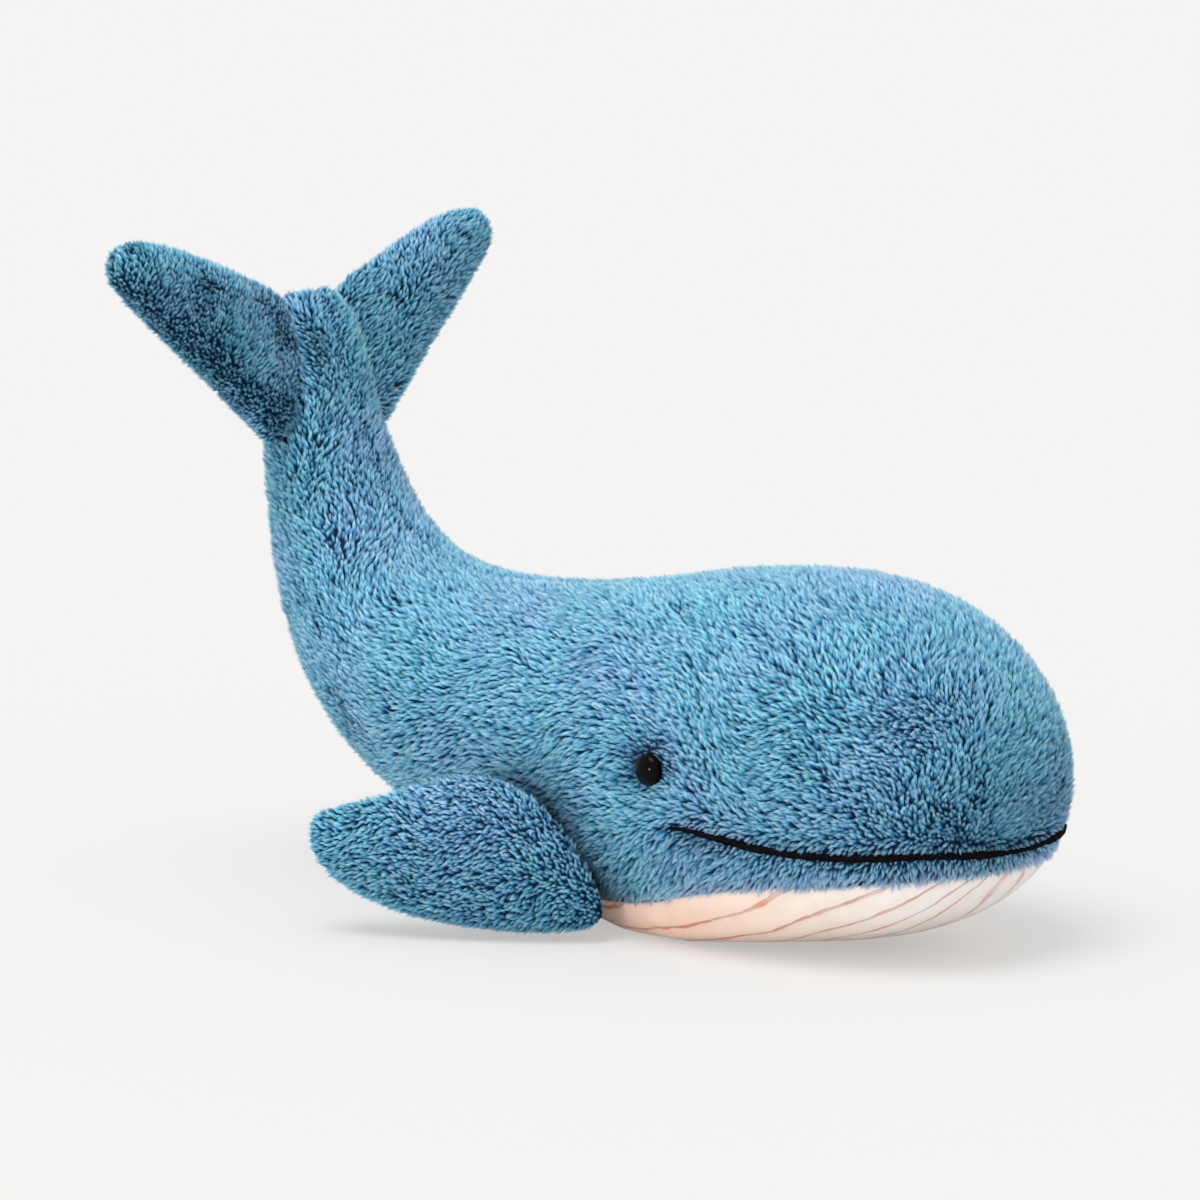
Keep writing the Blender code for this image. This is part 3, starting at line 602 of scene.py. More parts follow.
# %% Keep the outer wall and measure it from its seams
SEAM_WIDTH = 0.007
RAY_START, OWN_REACH, NEIGHBOUR_REACH = 0.0001, 0.008, 0.0015
FIN_AND_TRIM = ("flipper", "fluke", "eye", "mouth")
body_walls = solid_tree([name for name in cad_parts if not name.startswith(FIN_AND_TRIM)])


def outer_cloth(node, name, own, neighbours=None):
    """The outer wall of a panel, as an open sheet of smooth quads. Own is what the panel is sewn into."""
    cloth = copy_of(node, name)

    def covered(face):
        start = face.center + face.normal * RAY_START
        if own.ray_cast(start, face.normal, OWN_REACH)[0] is not None:
            return True
        if neighbours is None:
            return False
        return neighbours.ray_cast(start, face.normal, NEIGHBOUR_REACH)[0] is not None

    select_faces(cloth, covered)
    bpy.ops.mesh.delete(type="FACE")
    bpy.ops.mesh.select_all(action="SELECT")
    bpy.ops.mesh.tris_convert_to_quads()
    bpy.ops.mesh.normals_make_consistent(inside=False)
    bpy.ops.object.mode_set(mode="OBJECT")
    subdivide(cloth, 1)
    return cloth


def open_edges(mesh):
    """The middle and the ends of each edge that only one face uses."""
    uses = np.zeros(len(mesh.edges), int)
    np.add.at(uses, [loop.edge_index for loop in mesh.loops], 1)
    for edge in mesh.edges:
        if uses[edge.index] == 1:
            first, second = (mesh.vertices[i].co for i in edge.vertices)
            yield from (first, (first + second) / 2, second)


def seam_distances(cloth, is_seam=lambda point: True):
    """How far each point of the cloth is from its nearest sewn edge."""
    edges = [point for point in open_edges(cloth.data) if is_seam(point)]
    tree = KDTree(len(edges))
    for number, point in enumerate(edges):
        tree.insert(point, number)
    tree.balance()
    return np.array([tree.find(vertex.co)[2] for vertex in cloth.data.vertices])


def draw_in(cloth, distance, depth):
    """Sinks the cloth along its seams."""
    near = (1 - fade_in(distance, 0, SEAM_WIDTH)) ** 2
    move_points(cloth, coordinates(cloth.data) - normals(cloth.data) * (depth * near)[:, None])


# %% [markdown]
# ## Comb the pile
# The pile is combed by a direction at each point, which wanders a little. It also falls apart along thin
# crooked lines. Both come from slow noise. All that the coat needs to know is kept together as a pelt:
# comb, pile, cover and lean for the locks' shapes, and pale tips and painted shade for their colours. The
# pale tips hold a painted highlight on the upper lip.

# %% Comb and part the pile
WANDER = 1.2
PARTING_DEPTH, PARTING_WIDTH = 0.7, 0.022


def comb_field(cloth, direction, size):
    """A unit direction along the cloth at each point: the given one, turned by slow noise."""
    found = []
    for vertex in cloth.data.vertices:
        lying = Vector(direction(vertex.co))
        lying -= lying.project(vertex.normal)
        lying = lying.normalized() if lying.length > 1e-6 else vertex.normal.orthogonal().normalized()
        turn = WANDER * noise.fractal(vertex.co / size, 1.0, 2.0, 2)
        found.append(Matrix.Rotation(turn, 3, vertex.normal) @ lying)
    return np.array(found)


def turn_towards(comb, wanted, share):
    """Turns the pile's direction towards another one by a share from 0 to 1."""
    comb = comb * (1 - share[:, None]) + wanted * share[:, None]
    return comb / np.maximum(np.linalg.norm(comb, axis=1), 1e-6)[:, None]


def partings(points, size, seed):
    """Thin wandering lines where the pile falls apart, from the zeros of slow noise."""
    shift = Vector((seed, 0.37 * seed, 0))
    slow = np.array([noise.noise(Vector(point) / size + shift) for point in points])
    gate = np.array([noise.noise(Vector(point) / (size * 1.3) - shift) for point in points])
    return PARTING_DEPTH * bump_at(slow, PARTING_WIDTH) * fade_in(gate, 0, 0.25)


def full_pelt(comb, lean):
    """A pelt of full length and cover, with this comb and lean."""
    full = np.ones(len(comb))
    return SimpleNamespace(
        comb=comb, pile=full.copy(), cover=full.copy(), lean=lean * full, faded=0 * full, shaded=0 * full
    )


# %% [markdown]
# ## Sew a coat
# A coat is two things joined in one piece: a thin backing, which is the woven ground of the plush, and
# the locks that grow from it. The backing is given its thickness inwards, so that it never leaves the
# place of the solid panel. Real hairs are so thin that light passes through them, and a coat is shaded
# by its own slope more than by each hair's, so the hairs' normals are turned towards the cloth's.

# %% Grow fur on a cloth
SPACING = 0.00142
BACKING_THICKNESS = 0.0008
STRIP_SIZE, STRIP_CORNER = (0.98, 0.055), (0.01, 0.005)
SLOPE_SHARE = 0.7
fur_counts = {}


def backing_map(cloth):
    """Lays the backing on the low strip of the bake map, which the locks leave free."""
    mesh = cloth.data
    layer = mesh.uv_layers.new(name="OFBake")
    points = coordinates(mesh)
    points = (points - points.min(0)) / np.ptp(points, 0).max()
    corner = points[[loop.vertex_index for loop in mesh.loops]]
    flat = np.stack([corner[:, 0] + 0.3 * corner[:, 1], corner[:, 2] + 0.3 * corner[:, 1]], 1)
    flat /= flat.max(0) + 1e-9
    layer.uv.foreach_set("vector", (flat * STRIP_SIZE + STRIP_CORNER).astype(np.float32).ravel())


def as_it_is(points, skin):
    return skin


def soften_normals(coat, turn):
    """Turns the normals of the hairs towards those of the cloth they grow from, as turn leaves these."""
    skin = np.empty(len(coat.data.vertices) * 3, np.float32)
    coat.data.attributes["skin"].data.foreach_get("vector", skin)
    skin = skin.reshape(-1, 3)
    own = normals(coat.data)
    hair = np.linalg.norm(skin, axis=1) > 0.5
    cloth_slope = turn(coordinates(coat.data)[hair], skin[hair])
    own[hair] = own[hair] * (1 - SLOPE_SHARE) + cloth_slope * SLOPE_SHARE
    own /= np.maximum(np.linalg.norm(own, axis=1), 1e-6)[:, None]
    coat.data.attributes.remove(coat.data.attributes["skin"])
    coat.data.normals_split_custom_set_from_vertices(own)


def grow_fur(cloth, seed):
    """The locks of a cloth, as a piece of their own."""
    fur = cloth.copy()
    fur.data = cloth.data.copy()
    bpy.context.scene.collection.objects.link(fur)
    grow = fur.modifiers.new("fur", "NODES")
    grow.node_group = fur_coat
    sockets = {s.name: s.identifier for s in fur_coat.interface.items_tree if s.in_out == "INPUT"}
    for name, value in (("Lock", lock_of_fur), ("Spacing", SPACING), ("Seed", seed), ("Finish", plush)):
        grow[sockets[name]] = value
    pick(fur)
    bpy.ops.object.modifier_apply(modifier=grow.name)
    return fur


def sew_coat(cloth, pelt, seed, turn=as_it_is):
    """Turns an open cloth into a furred piece."""
    for name in ("comb", "pile", "cover", "lean", "faded", "shaded"):
        store(cloth, name, "FLOAT_VECTOR" if name == "comb" else "FLOAT", getattr(pelt, name))
    fur = grow_fur(cloth, seed)
    for name in ("comb", "pile", "cover", "lean"):
        cloth.data.attributes.remove(cloth.data.attributes[name])
    apply_modifier(cloth, "SOLIDIFY", thickness=BACKING_THICKNESS, offset=-1, use_rim=True)
    backing_map(cloth)
    cloth.data.materials.append(plush)
    name = cloth.name
    pick(fur)
    cloth.select_set(True)
    bpy.context.view_layer.objects.active = cloth
    bpy.ops.object.join()
    cloth.name = name
    soften_normals(cloth, turn)
    fur_counts[name] = sum(len(face.vertices) - 2 for face in cloth.data.polygons)
    print(f"{name}: {fur_counts[name]} triangles")
    return cloth


# %% [markdown]
# ## Mouth
# The mouth is one thick black yarn, sewn along the join between head and jaw. It is thin at the corners
# and thickest beside the nose. The yarn starts as a copy of the solid cord, so that it lies there, and is
# then made fuller, a little uneven, and pulled down at the nose, as loosely spun wool is. It is made
# before the coats, because the pile on the lips is combed over it.

# %% Spin the mouth yarn
YARN_THINNER, YARN_FULLER, YARN_UNEVEN = 0.0006, 0.0014, 0.0006
FULL_FORWARD, FULL_BESIDE_NOSE, FULLNESS_AT_NOSE = (0.005, 0.045), (0.008, 0.02), 0.5
SMILE_LIFT, SMILE_REACH, SMILE_WIDTH = 0.0014, 0.060, 0.015
NOSE_DROP, NOSE_WIDTH = 0.0028, 0.035
YARN_SUNK, NOSE_SUNK, NOSE_TIP = 0.0010, 0.0012, (0.120, 0.03)
YARN_BLACKS = ((0.3, (0.001, 0.001, 0.002)), (0.75, (0.007, 0.007, 0.010)))

yarn, tree, shader = principled("black yarn", roughness=0.9, Specular_IOR_Level=0.04)
fuzz, slope = grain(tree, 1400.0, 3.0, strength=0.6, distance=0.0003)
finish_with(tree, shader, fuzz, YARN_BLACKS, slope)
mouth = copy_of("mouth_cord", "mouth_yarn")
subdivide(mouth, 2)
points, out = coordinates(mouth.data), normals(mouth.data)
side_reach = np.abs(points[:, 1])
beside_nose = np.maximum(fade_in(side_reach, *FULL_BESIDE_NOSE), FULLNESS_AT_NOSE)
fullness = fade_in(points[:, 0], *FULL_FORWARD) * beside_nose
spun = [noise.noise(Vector(point) / 0.0030) + noise.noise(Vector(point) / 0.0010) for point in points]
points += out * (-YARN_THINNER + YARN_FULLER * fullness + YARN_UNEVEN * np.array(spun))[:, None]
points[:, 2] += SMILE_LIFT * bump_at(side_reach - SMILE_REACH, SMILE_WIDTH)
points[:, 2] -= NOSE_DROP * bump_at(side_reach, NOSE_WIDTH)
points[:, 1] *= 1 - YARN_SUNK / np.maximum(side_reach, 0.03)
points[:, 0] -= NOSE_SUNK * fade_in(points[:, 0], *NOSE_TIP)
move_points(mouth, points)
mouth.data.materials.append(yarn)
pick(mouth)
bpy.ops.object.shade_smooth()
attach(mouth, "body")
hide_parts("mouth_cord")
mouth_faces = [tuple(face.vertices) for face in mouth.data.polygons]
mouth_line = BVHTree.FromPolygons([tuple(point) for point in points], mouth_faces)
print("mouth:", len(mouth_faces), "faces")

# %% [markdown]
# ## The way the body is combed
# Two large panels make the whale's back, head and tail, and a narrow band goes round the jaw under the
# mouth. Their pile lies backwards on the flanks, upwards on the head and the tail, down on the jaw, and
# out towards the flukes at the tail's end.

# %% Comb the body
SIDES = {"right": -1, "left": 1}
TAIL_RISES, JAW_STARTS, HEAD_STARTS = (-0.14, -0.10), (0.066, -0.015), (-0.06, 0.10)
FLUKES_START, BESIDE_BACK_SEAM = (0.235, 0.03), (0.006, 0.012)
BACKWARDS, UP_THE_TAIL = np.array((-1, 0, -0.3)), np.array((0.9, 0, 1.3))
DOWN_THE_JAW, UP_THE_HEAD = np.array((0, 0, -0.8)), np.array((0, 0, 1.1))
OUT_TO_THE_FLUKES = np.array((0, 0.9, 0))


def body_direction(point):
    """Backwards and up on the head, down on the jaw, up the tail, and out to the flukes at its end."""
    tail = fade_in(point.x, *TAIL_RISES)
    jaw = fade_in(point.z, *JAW_STARTS)
    head = fade_in(point.x, *HEAD_STARTS) * (1 - jaw)
    spread = fade_in(point.z, *FLUKES_START) * fade_in(abs(point.y), *BESIDE_BACK_SEAM)
    combed = BACKWARDS + tail * UP_THE_TAIL + jaw * DOWN_THE_JAW + head * UP_THE_HEAD
    return combed + math.copysign(spread, point.y) * OUT_TO_THE_FLUKES


# %% [markdown]
# ## The end of the tail
# Between the flukes the tail stock widens into a squarer saddle, which its filling pushes out. The solid
# has a plain loft there. Its half widths are read at a few heights, and the points between are spread to
# the saddle's widths. The two lowest are given, where the stock flows into the rump.

# %% Measure and widen the tail stock
STOCK_HEIGHTS = (0.190, 0.218, 0.240, 0.254, 0.262, 0.270, 0.278, 0.286, 0.294, 0.302)
SADDLE_WIDTHS = (0.0370, 0.0345, 0.0300, 0.0260, 0.0245, 0.0245, 0.0245, 0.0240, 0.0225, 0.0190)
LOW_WIDTHS = (0.0370, 0.0315)
SADDLE_HEIGHTS = (0.254, 0.270, 0.286)
SADDLE_CENTRES, SADDLE_DEPTHS = (-0.288, -0.290, -0.291), (0.022, 0.019, 0.015)
SQUARE_FROM, SQUARE_TO = (0.234, 0.03), (0.312, -0.02)


def stock_width(height):
    """The solid tail stock's half width within 4 mm of a height, to a tenth of a millimetre."""
    points = coordinates(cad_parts["side_panel_right"].data)
    return round(float(np.abs(points[np.abs(points[:, 2] - height) < 0.004][:, 1]).max()), 4)


stock_widths = [*LOW_WIDTHS, *(stock_width(height) for height in STOCK_HEIGHTS[len(LOW_WIDTHS):])]
print("stock half widths:", stock_widths)


def widen_stock(cloth):
    """Spreads the end of the tail stock into a saddle between the flukes."""
    points = coordinates(cloth.data)
    height = points[:, 2].copy()
    high = height > STOCK_HEIGHTS[0]
    widths = np.interp(height, STOCK_HEIGHTS, SADDLE_WIDTHS)
    points[high, 1] *= (widths / np.interp(height, STOCK_HEIGHTS, stock_widths))[high]
    centre = np.interp(height, SADDLE_HEIGHTS, SADDLE_CENTRES)
    depth = np.interp(height, SADDLE_HEIGHTS, SADDLE_DEPTHS)
    round_x, round_y = abs((points[:, 0] - centre) / depth), abs(points[:, 1] / widths)
    corner = np.hypot(round_x, round_y) / np.maximum(np.maximum(round_x, round_y), 1e-6)
    squarer = corner ** (0.5 * fade_in(height, *SQUARE_FROM) * fade_in(height, *SQUARE_TO))
    points[high, 0] = (centre + (points[:, 0] - centre) * squarer)[high]
    points[high, 1] = (points[:, 1] * squarer)[high]
    move_points(cloth, points)


# %% [markdown]
# ## The lips and the eyes
# On both lips the pile is combed away from the yarn and is shorter, so that the mouth shows as a clean
# line. Round each eye it is short and combed outwards. The cloth sinks there into a small hollow, and a
# crease runs from in front of the eye up and back over it, because the post pulls the eye in.

# %% Part the pile at the mouth and at the eyes
EYE_PLACE = {side: Vector((0.0023, sign * 0.0900, 0.0942)) for side, sign in SIDES.items()}
EYE_CREASE = np.array(((-13, 23.5), (-6, 20), (2, 15.5), (9, 8), (11.5, 1))) / 1000
BESIDE_YARN, BESIDE_EYE, EYE_PILE = (0.001, 0.006), (0.008, 0.014), (0.0080, 0.010)
UPPER_LIP_TURN, LOWER_LIP_TURN = 0.7, 0.6
UPPER_LIP_PILE, LOWER_LIP_CUT = 0.4, 0.35
LIP_HIGHLIGHT_WIDTH, LIP_HIGHLIGHT, CHEEK_SHADE = 0.0025, 0.4, 0.5
PILE_BEHIND, PILE_IN_FRONT, EYE_LEAN = 0.40, 0.25, 0.3
CREASE_CUT, CREASE_SHADE, HOLLOW_SHADE = 0.45, 0.7, 0.85
CREASE_SUNK, HOLLOW_SUNK, EYE_RAISED = 0.0012, 0.0014, 0.0006
EYE_HOLE = 0.0068
CREASE_END = 0.035
HOLLOW_PLACE, HOLLOW_WIDTH = (-0.006, 0, 0), 0.0105
CORNER_SHADE_X, CORNER_SHADE_WIDTH = 0.032, 0.018


def line_distance(points, line):
    """How far points of a plane are from a broken line."""
    best = np.full(len(points), 1e9)
    for first, second in zip(line[:-1], line[1:]):
        step = second - first
        share = np.clip((points - first) @ step / (step @ step), 0, 1)
        best = np.minimum(best, np.linalg.norm(points - first - share[:, None] * step, axis=1))
    return best


def part_at_mouth(points, pelt):
    """Combs the lips away from the yarn, paints a highlight on the upper lip and shade under the corner."""
    nearest = [mouth_line.find_nearest(Vector(point)) for point in points]
    gap = np.array([found[3] for found in nearest])
    away = points - np.array([found[0] for found in nearest])
    away /= np.maximum(np.linalg.norm(away, axis=1), 1e-6)[:, None]
    beside = 1 - fade_in(gap, *BESIDE_YARN)
    above = away[:, 2] > 0
    outwards = np.where(above[:, None], -1, 1) * away
    pelt.comb = turn_towards(pelt.comb, outwards, np.where(above, UPPER_LIP_TURN, LOWER_LIP_TURN) * beside)
    upper_pile = np.clip(0.35 + gap / 0.006, UPPER_LIP_PILE, 1)
    pelt.pile *= np.where(above, upper_pile, 1 - LOWER_LIP_CUT * beside)
    # Painted highlight along the upper lip's edge, where the pile catches the light over the yarn.
    pelt.faded = np.maximum(pelt.faded, LIP_HIGHLIGHT * above * bump_at(gap, LIP_HIGHLIGHT_WIDTH))
    cheek = bump_at(points[:, 0] - CORNER_SHADE_X, CORNER_SHADE_WIDTH) * ~above
    pelt.shaded = np.maximum(pelt.shaded, CHEEK_SHADE * cheek * (1 - fade_in(gap, 0, 0.010)))


def part_at_eye(points, centre, pelt):
    """Shortens, combs and shades the pile round an eye, and gives back how far the cloth sinks there."""
    away = points - np.array(centre)
    reach = np.linalg.norm(away, axis=1)
    near = 1 - fade_in(reach, *BESIDE_EYE)
    behind = np.clip(0.6 - away[:, 0] / 0.008, 0, 1)
    pelt.comb = turn_towards(pelt.comb, away / np.maximum(reach, 1e-6)[:, None], near * behind)
    least = PILE_BEHIND + PILE_IN_FRONT * (1 - behind)
    pelt.pile *= least + (1 - least) * fade_in(reach, *EYE_PILE)
    pelt.cover *= reach > EYE_HOLE
    pelt.lean += EYE_LEAN * near * behind
    crease = line_distance(away[:, [0, 2]], EYE_CREASE) + 1 * (reach > CREASE_END)
    pelt.pile *= 1 - CREASE_CUT * bump_at(crease, 0.0012)
    pelt.shaded = np.maximum(pelt.shaded, CREASE_SHADE * bump_at(crease, 0.0010))
    hollow = bump_at(np.linalg.norm(away - HOLLOW_PLACE, axis=1), HOLLOW_WIDTH)
    pelt.shaded = np.maximum(pelt.shaded, HOLLOW_SHADE * hollow * behind)
    return CREASE_SUNK * bump_at(crease, 0.003) + HOLLOW_SUNK * hollow - EYE_RAISED * near


# %% [markdown]
# ## Side panels and jaw band
# The three cloths of the body are dressed by one function. The pile is darker where a flipper shades it,
# its tips are pale where the plush meets the belly, and it is shorter along the seams of the rear half.

# %% Dress the body
BACKING_SUNK, BODY_SEAM_DEPTH = 0.0012, 0.0006
BODY_LEAN, BODY_COMB_SIZE, BODY_PARTING_SIZE = 0.82, 0.035, 0.022
BODY_PARTING_CUT, PARTING_BARE = 0.55, 0.4
REAR_SEAMS, SEAM_CUT = (-0.02, -0.06), 0.4
FLIPPER_SHADE, FLIPPER_SHADE_WIDTH = 0.75, 0.018
BELLY_FRINGE, BELLY_FRINGE_WIDTH = 0.7, 0.006
SEAM_DIP_WIDTH = 0.0025
belly_cloth = solid_tree(["belly_panel"])
flipper_cloths = solid_tree([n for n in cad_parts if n.startswith("flipper") and "panel" in n])


def distances(points, tree):
    return np.array([tree.find_nearest(Vector(point))[3] for point in points])


def body_coat(node, name, seed):
    cloth = outer_cloth(node, name, body_walls)
    distance = seam_distances(cloth)
    widen_stock(cloth)
    draw_in(cloth, distance, BODY_SEAM_DEPTH)
    points, out = coordinates(cloth.data), normals(cloth.data)
    pelt = full_pelt(comb_field(cloth, body_direction, BODY_COMB_SIZE), BODY_LEAN)
    pelt.pile -= SEAM_CUT * fade_in(points[:, 0], *REAR_SEAMS) * bump_at(distance, SEAM_DIP_WIDTH)
    pelt.shaded = FLIPPER_SHADE * bump_at(distances(points, flipper_cloths), FLIPPER_SHADE_WIDTH)
    pelt.faded = BELLY_FRINGE * bump_at(distances(points, belly_cloth), BELLY_FRINGE_WIDTH)
    part_at_mouth(points, pelt)
    sink = np.full(len(points), BACKING_SUNK)
    for centre in EYE_PLACE.values():
        sink += part_at_eye(points, centre, pelt)
    move_points(cloth, points - out * sink[:, None])
    parting = partings(points, BODY_PARTING_SIZE, seed)
    pelt.pile *= 1 - BODY_PARTING_CUT * parting
    pelt.cover *= 1 - PARTING_BARE * parting
    coat = sew_coat(cloth, pelt, seed)
    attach(coat, "body")
    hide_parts(node)


for number, side in enumerate(SIDES):
    body_coat(f"side_panel_{side}", f"side_fur_{side}", 20 + number)
body_coat("jaw_band", "jaw_fur", 30)

# %% [markdown]
# ## The roots of the fins
# The root of a fluke is sewn to the tail and looks grown from it: its upper edge is raised, its faces
# swell out to the tail stock's, and it takes the light as the stock beside it does. A flipper's lower edge
# sags.

# %% Shape the fins' roots
FLUKE_RISE = {"right": 0.006, "left": 0.011}
FLUKE_SWELL, FLUKE_FULL_AT = 0.006, 0.012
UPPER_EDGE, LOWER_EDGE = (0.258, 0.03), (0.050, -0.03)
FLIPPER_SAG = 0.0035
SWELL_REACH, STOCK_LIGHT_REACH, STOCK_LIGHT = 0.35, 0.45, 0.65
STOCK_SLOPE_X, STOCK_SLOPE_Z = 0.85, 0.4


def share_along(points, root, along):
    """0 at a fin's root and 1 at its tip."""
    return fade_in((points - np.array(root)) @ np.array(along), 0, along.length_squared)


def plump_root(cloth, distance, root, along, raised):
    """Raises the upper edge of a fluke at its root, and swells its face out to the tail stock's."""
    points, out = coordinates(cloth.data), normals(cloth.data)
    near = (1 - fade_in(share_along(points, root, along), 0, SWELL_REACH)) ** 1.5
    points[:, 2] += raised * near * fade_in(points[:, 2], *UPPER_EDGE)
    face_out = np.sign(out[:, 0]) * np.clip(np.abs(out[:, 0]) * 1.5, 0, 1)
    points[:, 0] += FLUKE_SWELL * near * face_out * fade_in(distance, 0, FLUKE_FULL_AT)
    move_points(cloth, points)


def turn_at_root(root, along):
    """Near its root, a fluke takes the light as the tail stock beside it does."""

    def turn(points, skin):
        near = 1 - fade_in(share_along(points, root, along), 0, STOCK_LIGHT_REACH)
        near = STOCK_LIGHT * (near ** 1.3)[:, None]
        stock = np.zeros_like(skin)
        stock[:, 0] = STOCK_SLOPE_X * np.clip(2 * skin[:, 0], -1, 1)
        stock[:, 2] = STOCK_SLOPE_Z
        return skin * (1 - near) + stock * near

    return turn


def bend_at_root(piece, side):
    """Bakes the piece's place into its mesh."""
    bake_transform(piece)


def rest_on_floor(piece):
    """Lets the lower edge of a flipper sag towards the floor."""
    points = coordinates(piece.data)
    points[:, 2] -= FLIPPER_SAG * fade_in(points[:, 2], *LOWER_EDGE)
    move_points(piece, points)


# %% [markdown]
# ## Flippers and flukes
# Each fin is two shaped cloths sewn round their edge and stuffed. The pile runs from the root to the tip
# and upwards, and it is a little shorter than on the body.

# %% Dress the fins
FIN_ENDS = {
    "flipper": (Vector((-0.049, 0.084, 0.043)), Vector((-0.165, 0.148, 0.025))),
    "fluke": (Vector((-0.288, 0.024, 0.263)), Vector((-0.285, 0.143, 0.325))),
}
FIN_FACES = {"flipper": ("outer", "inner"), "fluke": ("front", "rear")}
FIN_SEEDS = {"flipper": 40, "fluke": 45}
FIN_PILE, FIN_LEAN, FIN_COMB_SIZE = 0.86, 0.85, 0.03
FIN_PARTING_SIZE, FIN_PARTING_CUT = 0.020, 0.5
FIN_SUNK, FIN_SEAM_DEPTH, FIN_SEAM_CUT = 0.0008, 0.0005, 0.15
FLIPPER_UP, UPPER_HALF, UPPER_HALF_RISE = 0.03, 0.248, 0.040
UP_ALL_ALONG, UP_AT_ROOT = 0.09, 0.30
ROOT_WIDTH = 0.004


def away_from_body(point):
    """True for the edge that joins two faces of a fin, and false for its root line."""
    return body_walls.find_nearest(point)[3] > ROOT_WIDTH


def fin_direction(kind, root, along):
    """Along the fin and up. At its root a fluke's upper half is combed up as the tail stock is."""

    def combed(point):
        if kind == "flipper":
            return along + Vector((0, 0, FLIPPER_UP))
        share = fade_in((point - root).dot(along), 0, along.length_squared)
        upper = fade_in(point.z - UPPER_HALF, UPPER_HALF_RISE * share, 0.015)
        return along + Vector((0, 0, upper * (UP_ALL_ALONG + UP_AT_ROOT * (1 - fade_in(share, 0, 0.5)))))

    return combed


def fin_coat(kind, side, face, seed):
    node = f"{kind}_{face}_panel_{side}"
    root, tip = (Vector((end.x, SIDES[side] * end.y, end.z)) for end in FIN_ENDS[kind])
    along = tip - root
    kin = [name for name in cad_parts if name.startswith(kind) and name.endswith(side)]
    cloth = outer_cloth(node, f"{kind}_{face}_fur_{side}", solid_tree(kin), body_walls)
    distance = seam_distances(cloth, away_from_body)
    if kind == "fluke":
        plump_root(cloth, distance, root, along, FLUKE_RISE[side])
    else:
        rest_on_floor(cloth)
    draw_in(cloth, distance, FIN_SEAM_DEPTH)
    move_points(cloth, coordinates(cloth.data) - FIN_SUNK * normals(cloth.data))
    pelt = full_pelt(comb_field(cloth, fin_direction(kind, root, along), FIN_COMB_SIZE), FIN_LEAN)
    parting = partings(coordinates(cloth.data), FIN_PARTING_SIZE, seed)
    pelt.pile = FIN_PILE - FIN_SEAM_CUT * bump_at(distance, SEAM_DIP_WIDTH)
    pelt.pile *= 1 - FIN_PARTING_CUT * parting
    pelt.cover = 1 - PARTING_BARE * parting
    coat = sew_coat(cloth, pelt, seed, turn_at_root(root, along) if kind == "fluke" else as_it_is)
    if kind == "fluke":
        bend_at_root(coat, side)
    else:
        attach(coat, f"{kind}_{side}")
    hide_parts(node)


for kind, faces in FIN_FACES.items():
    for number, side in enumerate(SIDES):
        for layer, face in enumerate(faces):
            fin_coat(kind, side, face, FIN_SEEDS[kind] + 10 * number + layer)
bpy.data.objects.remove(lock_of_fur)
print("fur:", sum(fur_counts.values()), "triangles in all")

# %% [markdown]
# ## Belly velour
# The cream belly is a short smooth velour with throat grooves that run lengthwise and rise towards the
# chin. They are coral at their bottom, uneven and broken in places, and the whole cloth is warmer at the
# back than at the chin. Each point keeps how far round the belly it is, and a groove lies wherever that
# is a whole number.

# %% Make the velour
GROOVE_COLOUR = (0.70, 0.17, 0.08, 1)
CREAM = ((0.0, (0.98, 0.93, 0.89)), (0.5, (1.0, 0.85, 0.72)), (1.0, (1.0, 0.72, 0.58)))
CREAM_PATCHES = ((0.35, (0.96, 0.93, 0.90)), (0.65, (1.03, 1.02, 1.02)))
BESIDE_GROOVE = ((0.0, (0.97, 0.84, 0.74)), (1.0, (0.96, 0.56, 0.42)))
GROOVE_GAPS = ((0.36, (0.45, 0.45, 0.45)), (0.52, (1, 1, 1)))
CHIN_X, REAR_X = 0.13, 0.0
WAVE_SCALE, WAVE_REACH = 24.0, 0.6
WIDTH_SCALE, WIDTH_RANGE, WIDTH_LEAST = 90.0, 0.12, -0.025
LINE_FULL, LINE_GONE = -0.02, 0.04
GLOW_REACH, GLOW_SHARE = 0.42, 0.45
STRENGTH_AT_CHIN, STRONGER_BEHIND = 0.60, 0.30


def band(tree, value, low, high):
    """1 where the value is below low, falling to 0 at high."""
    inputs = {"Value": value, "From Min": low, "From Max": high, "To Min": 1.0, "To Max": 0.0}
    return add_node(tree, "ShaderNodeMapRange", inputs, interpolation_type="SMOOTHSTEP").outputs[0]


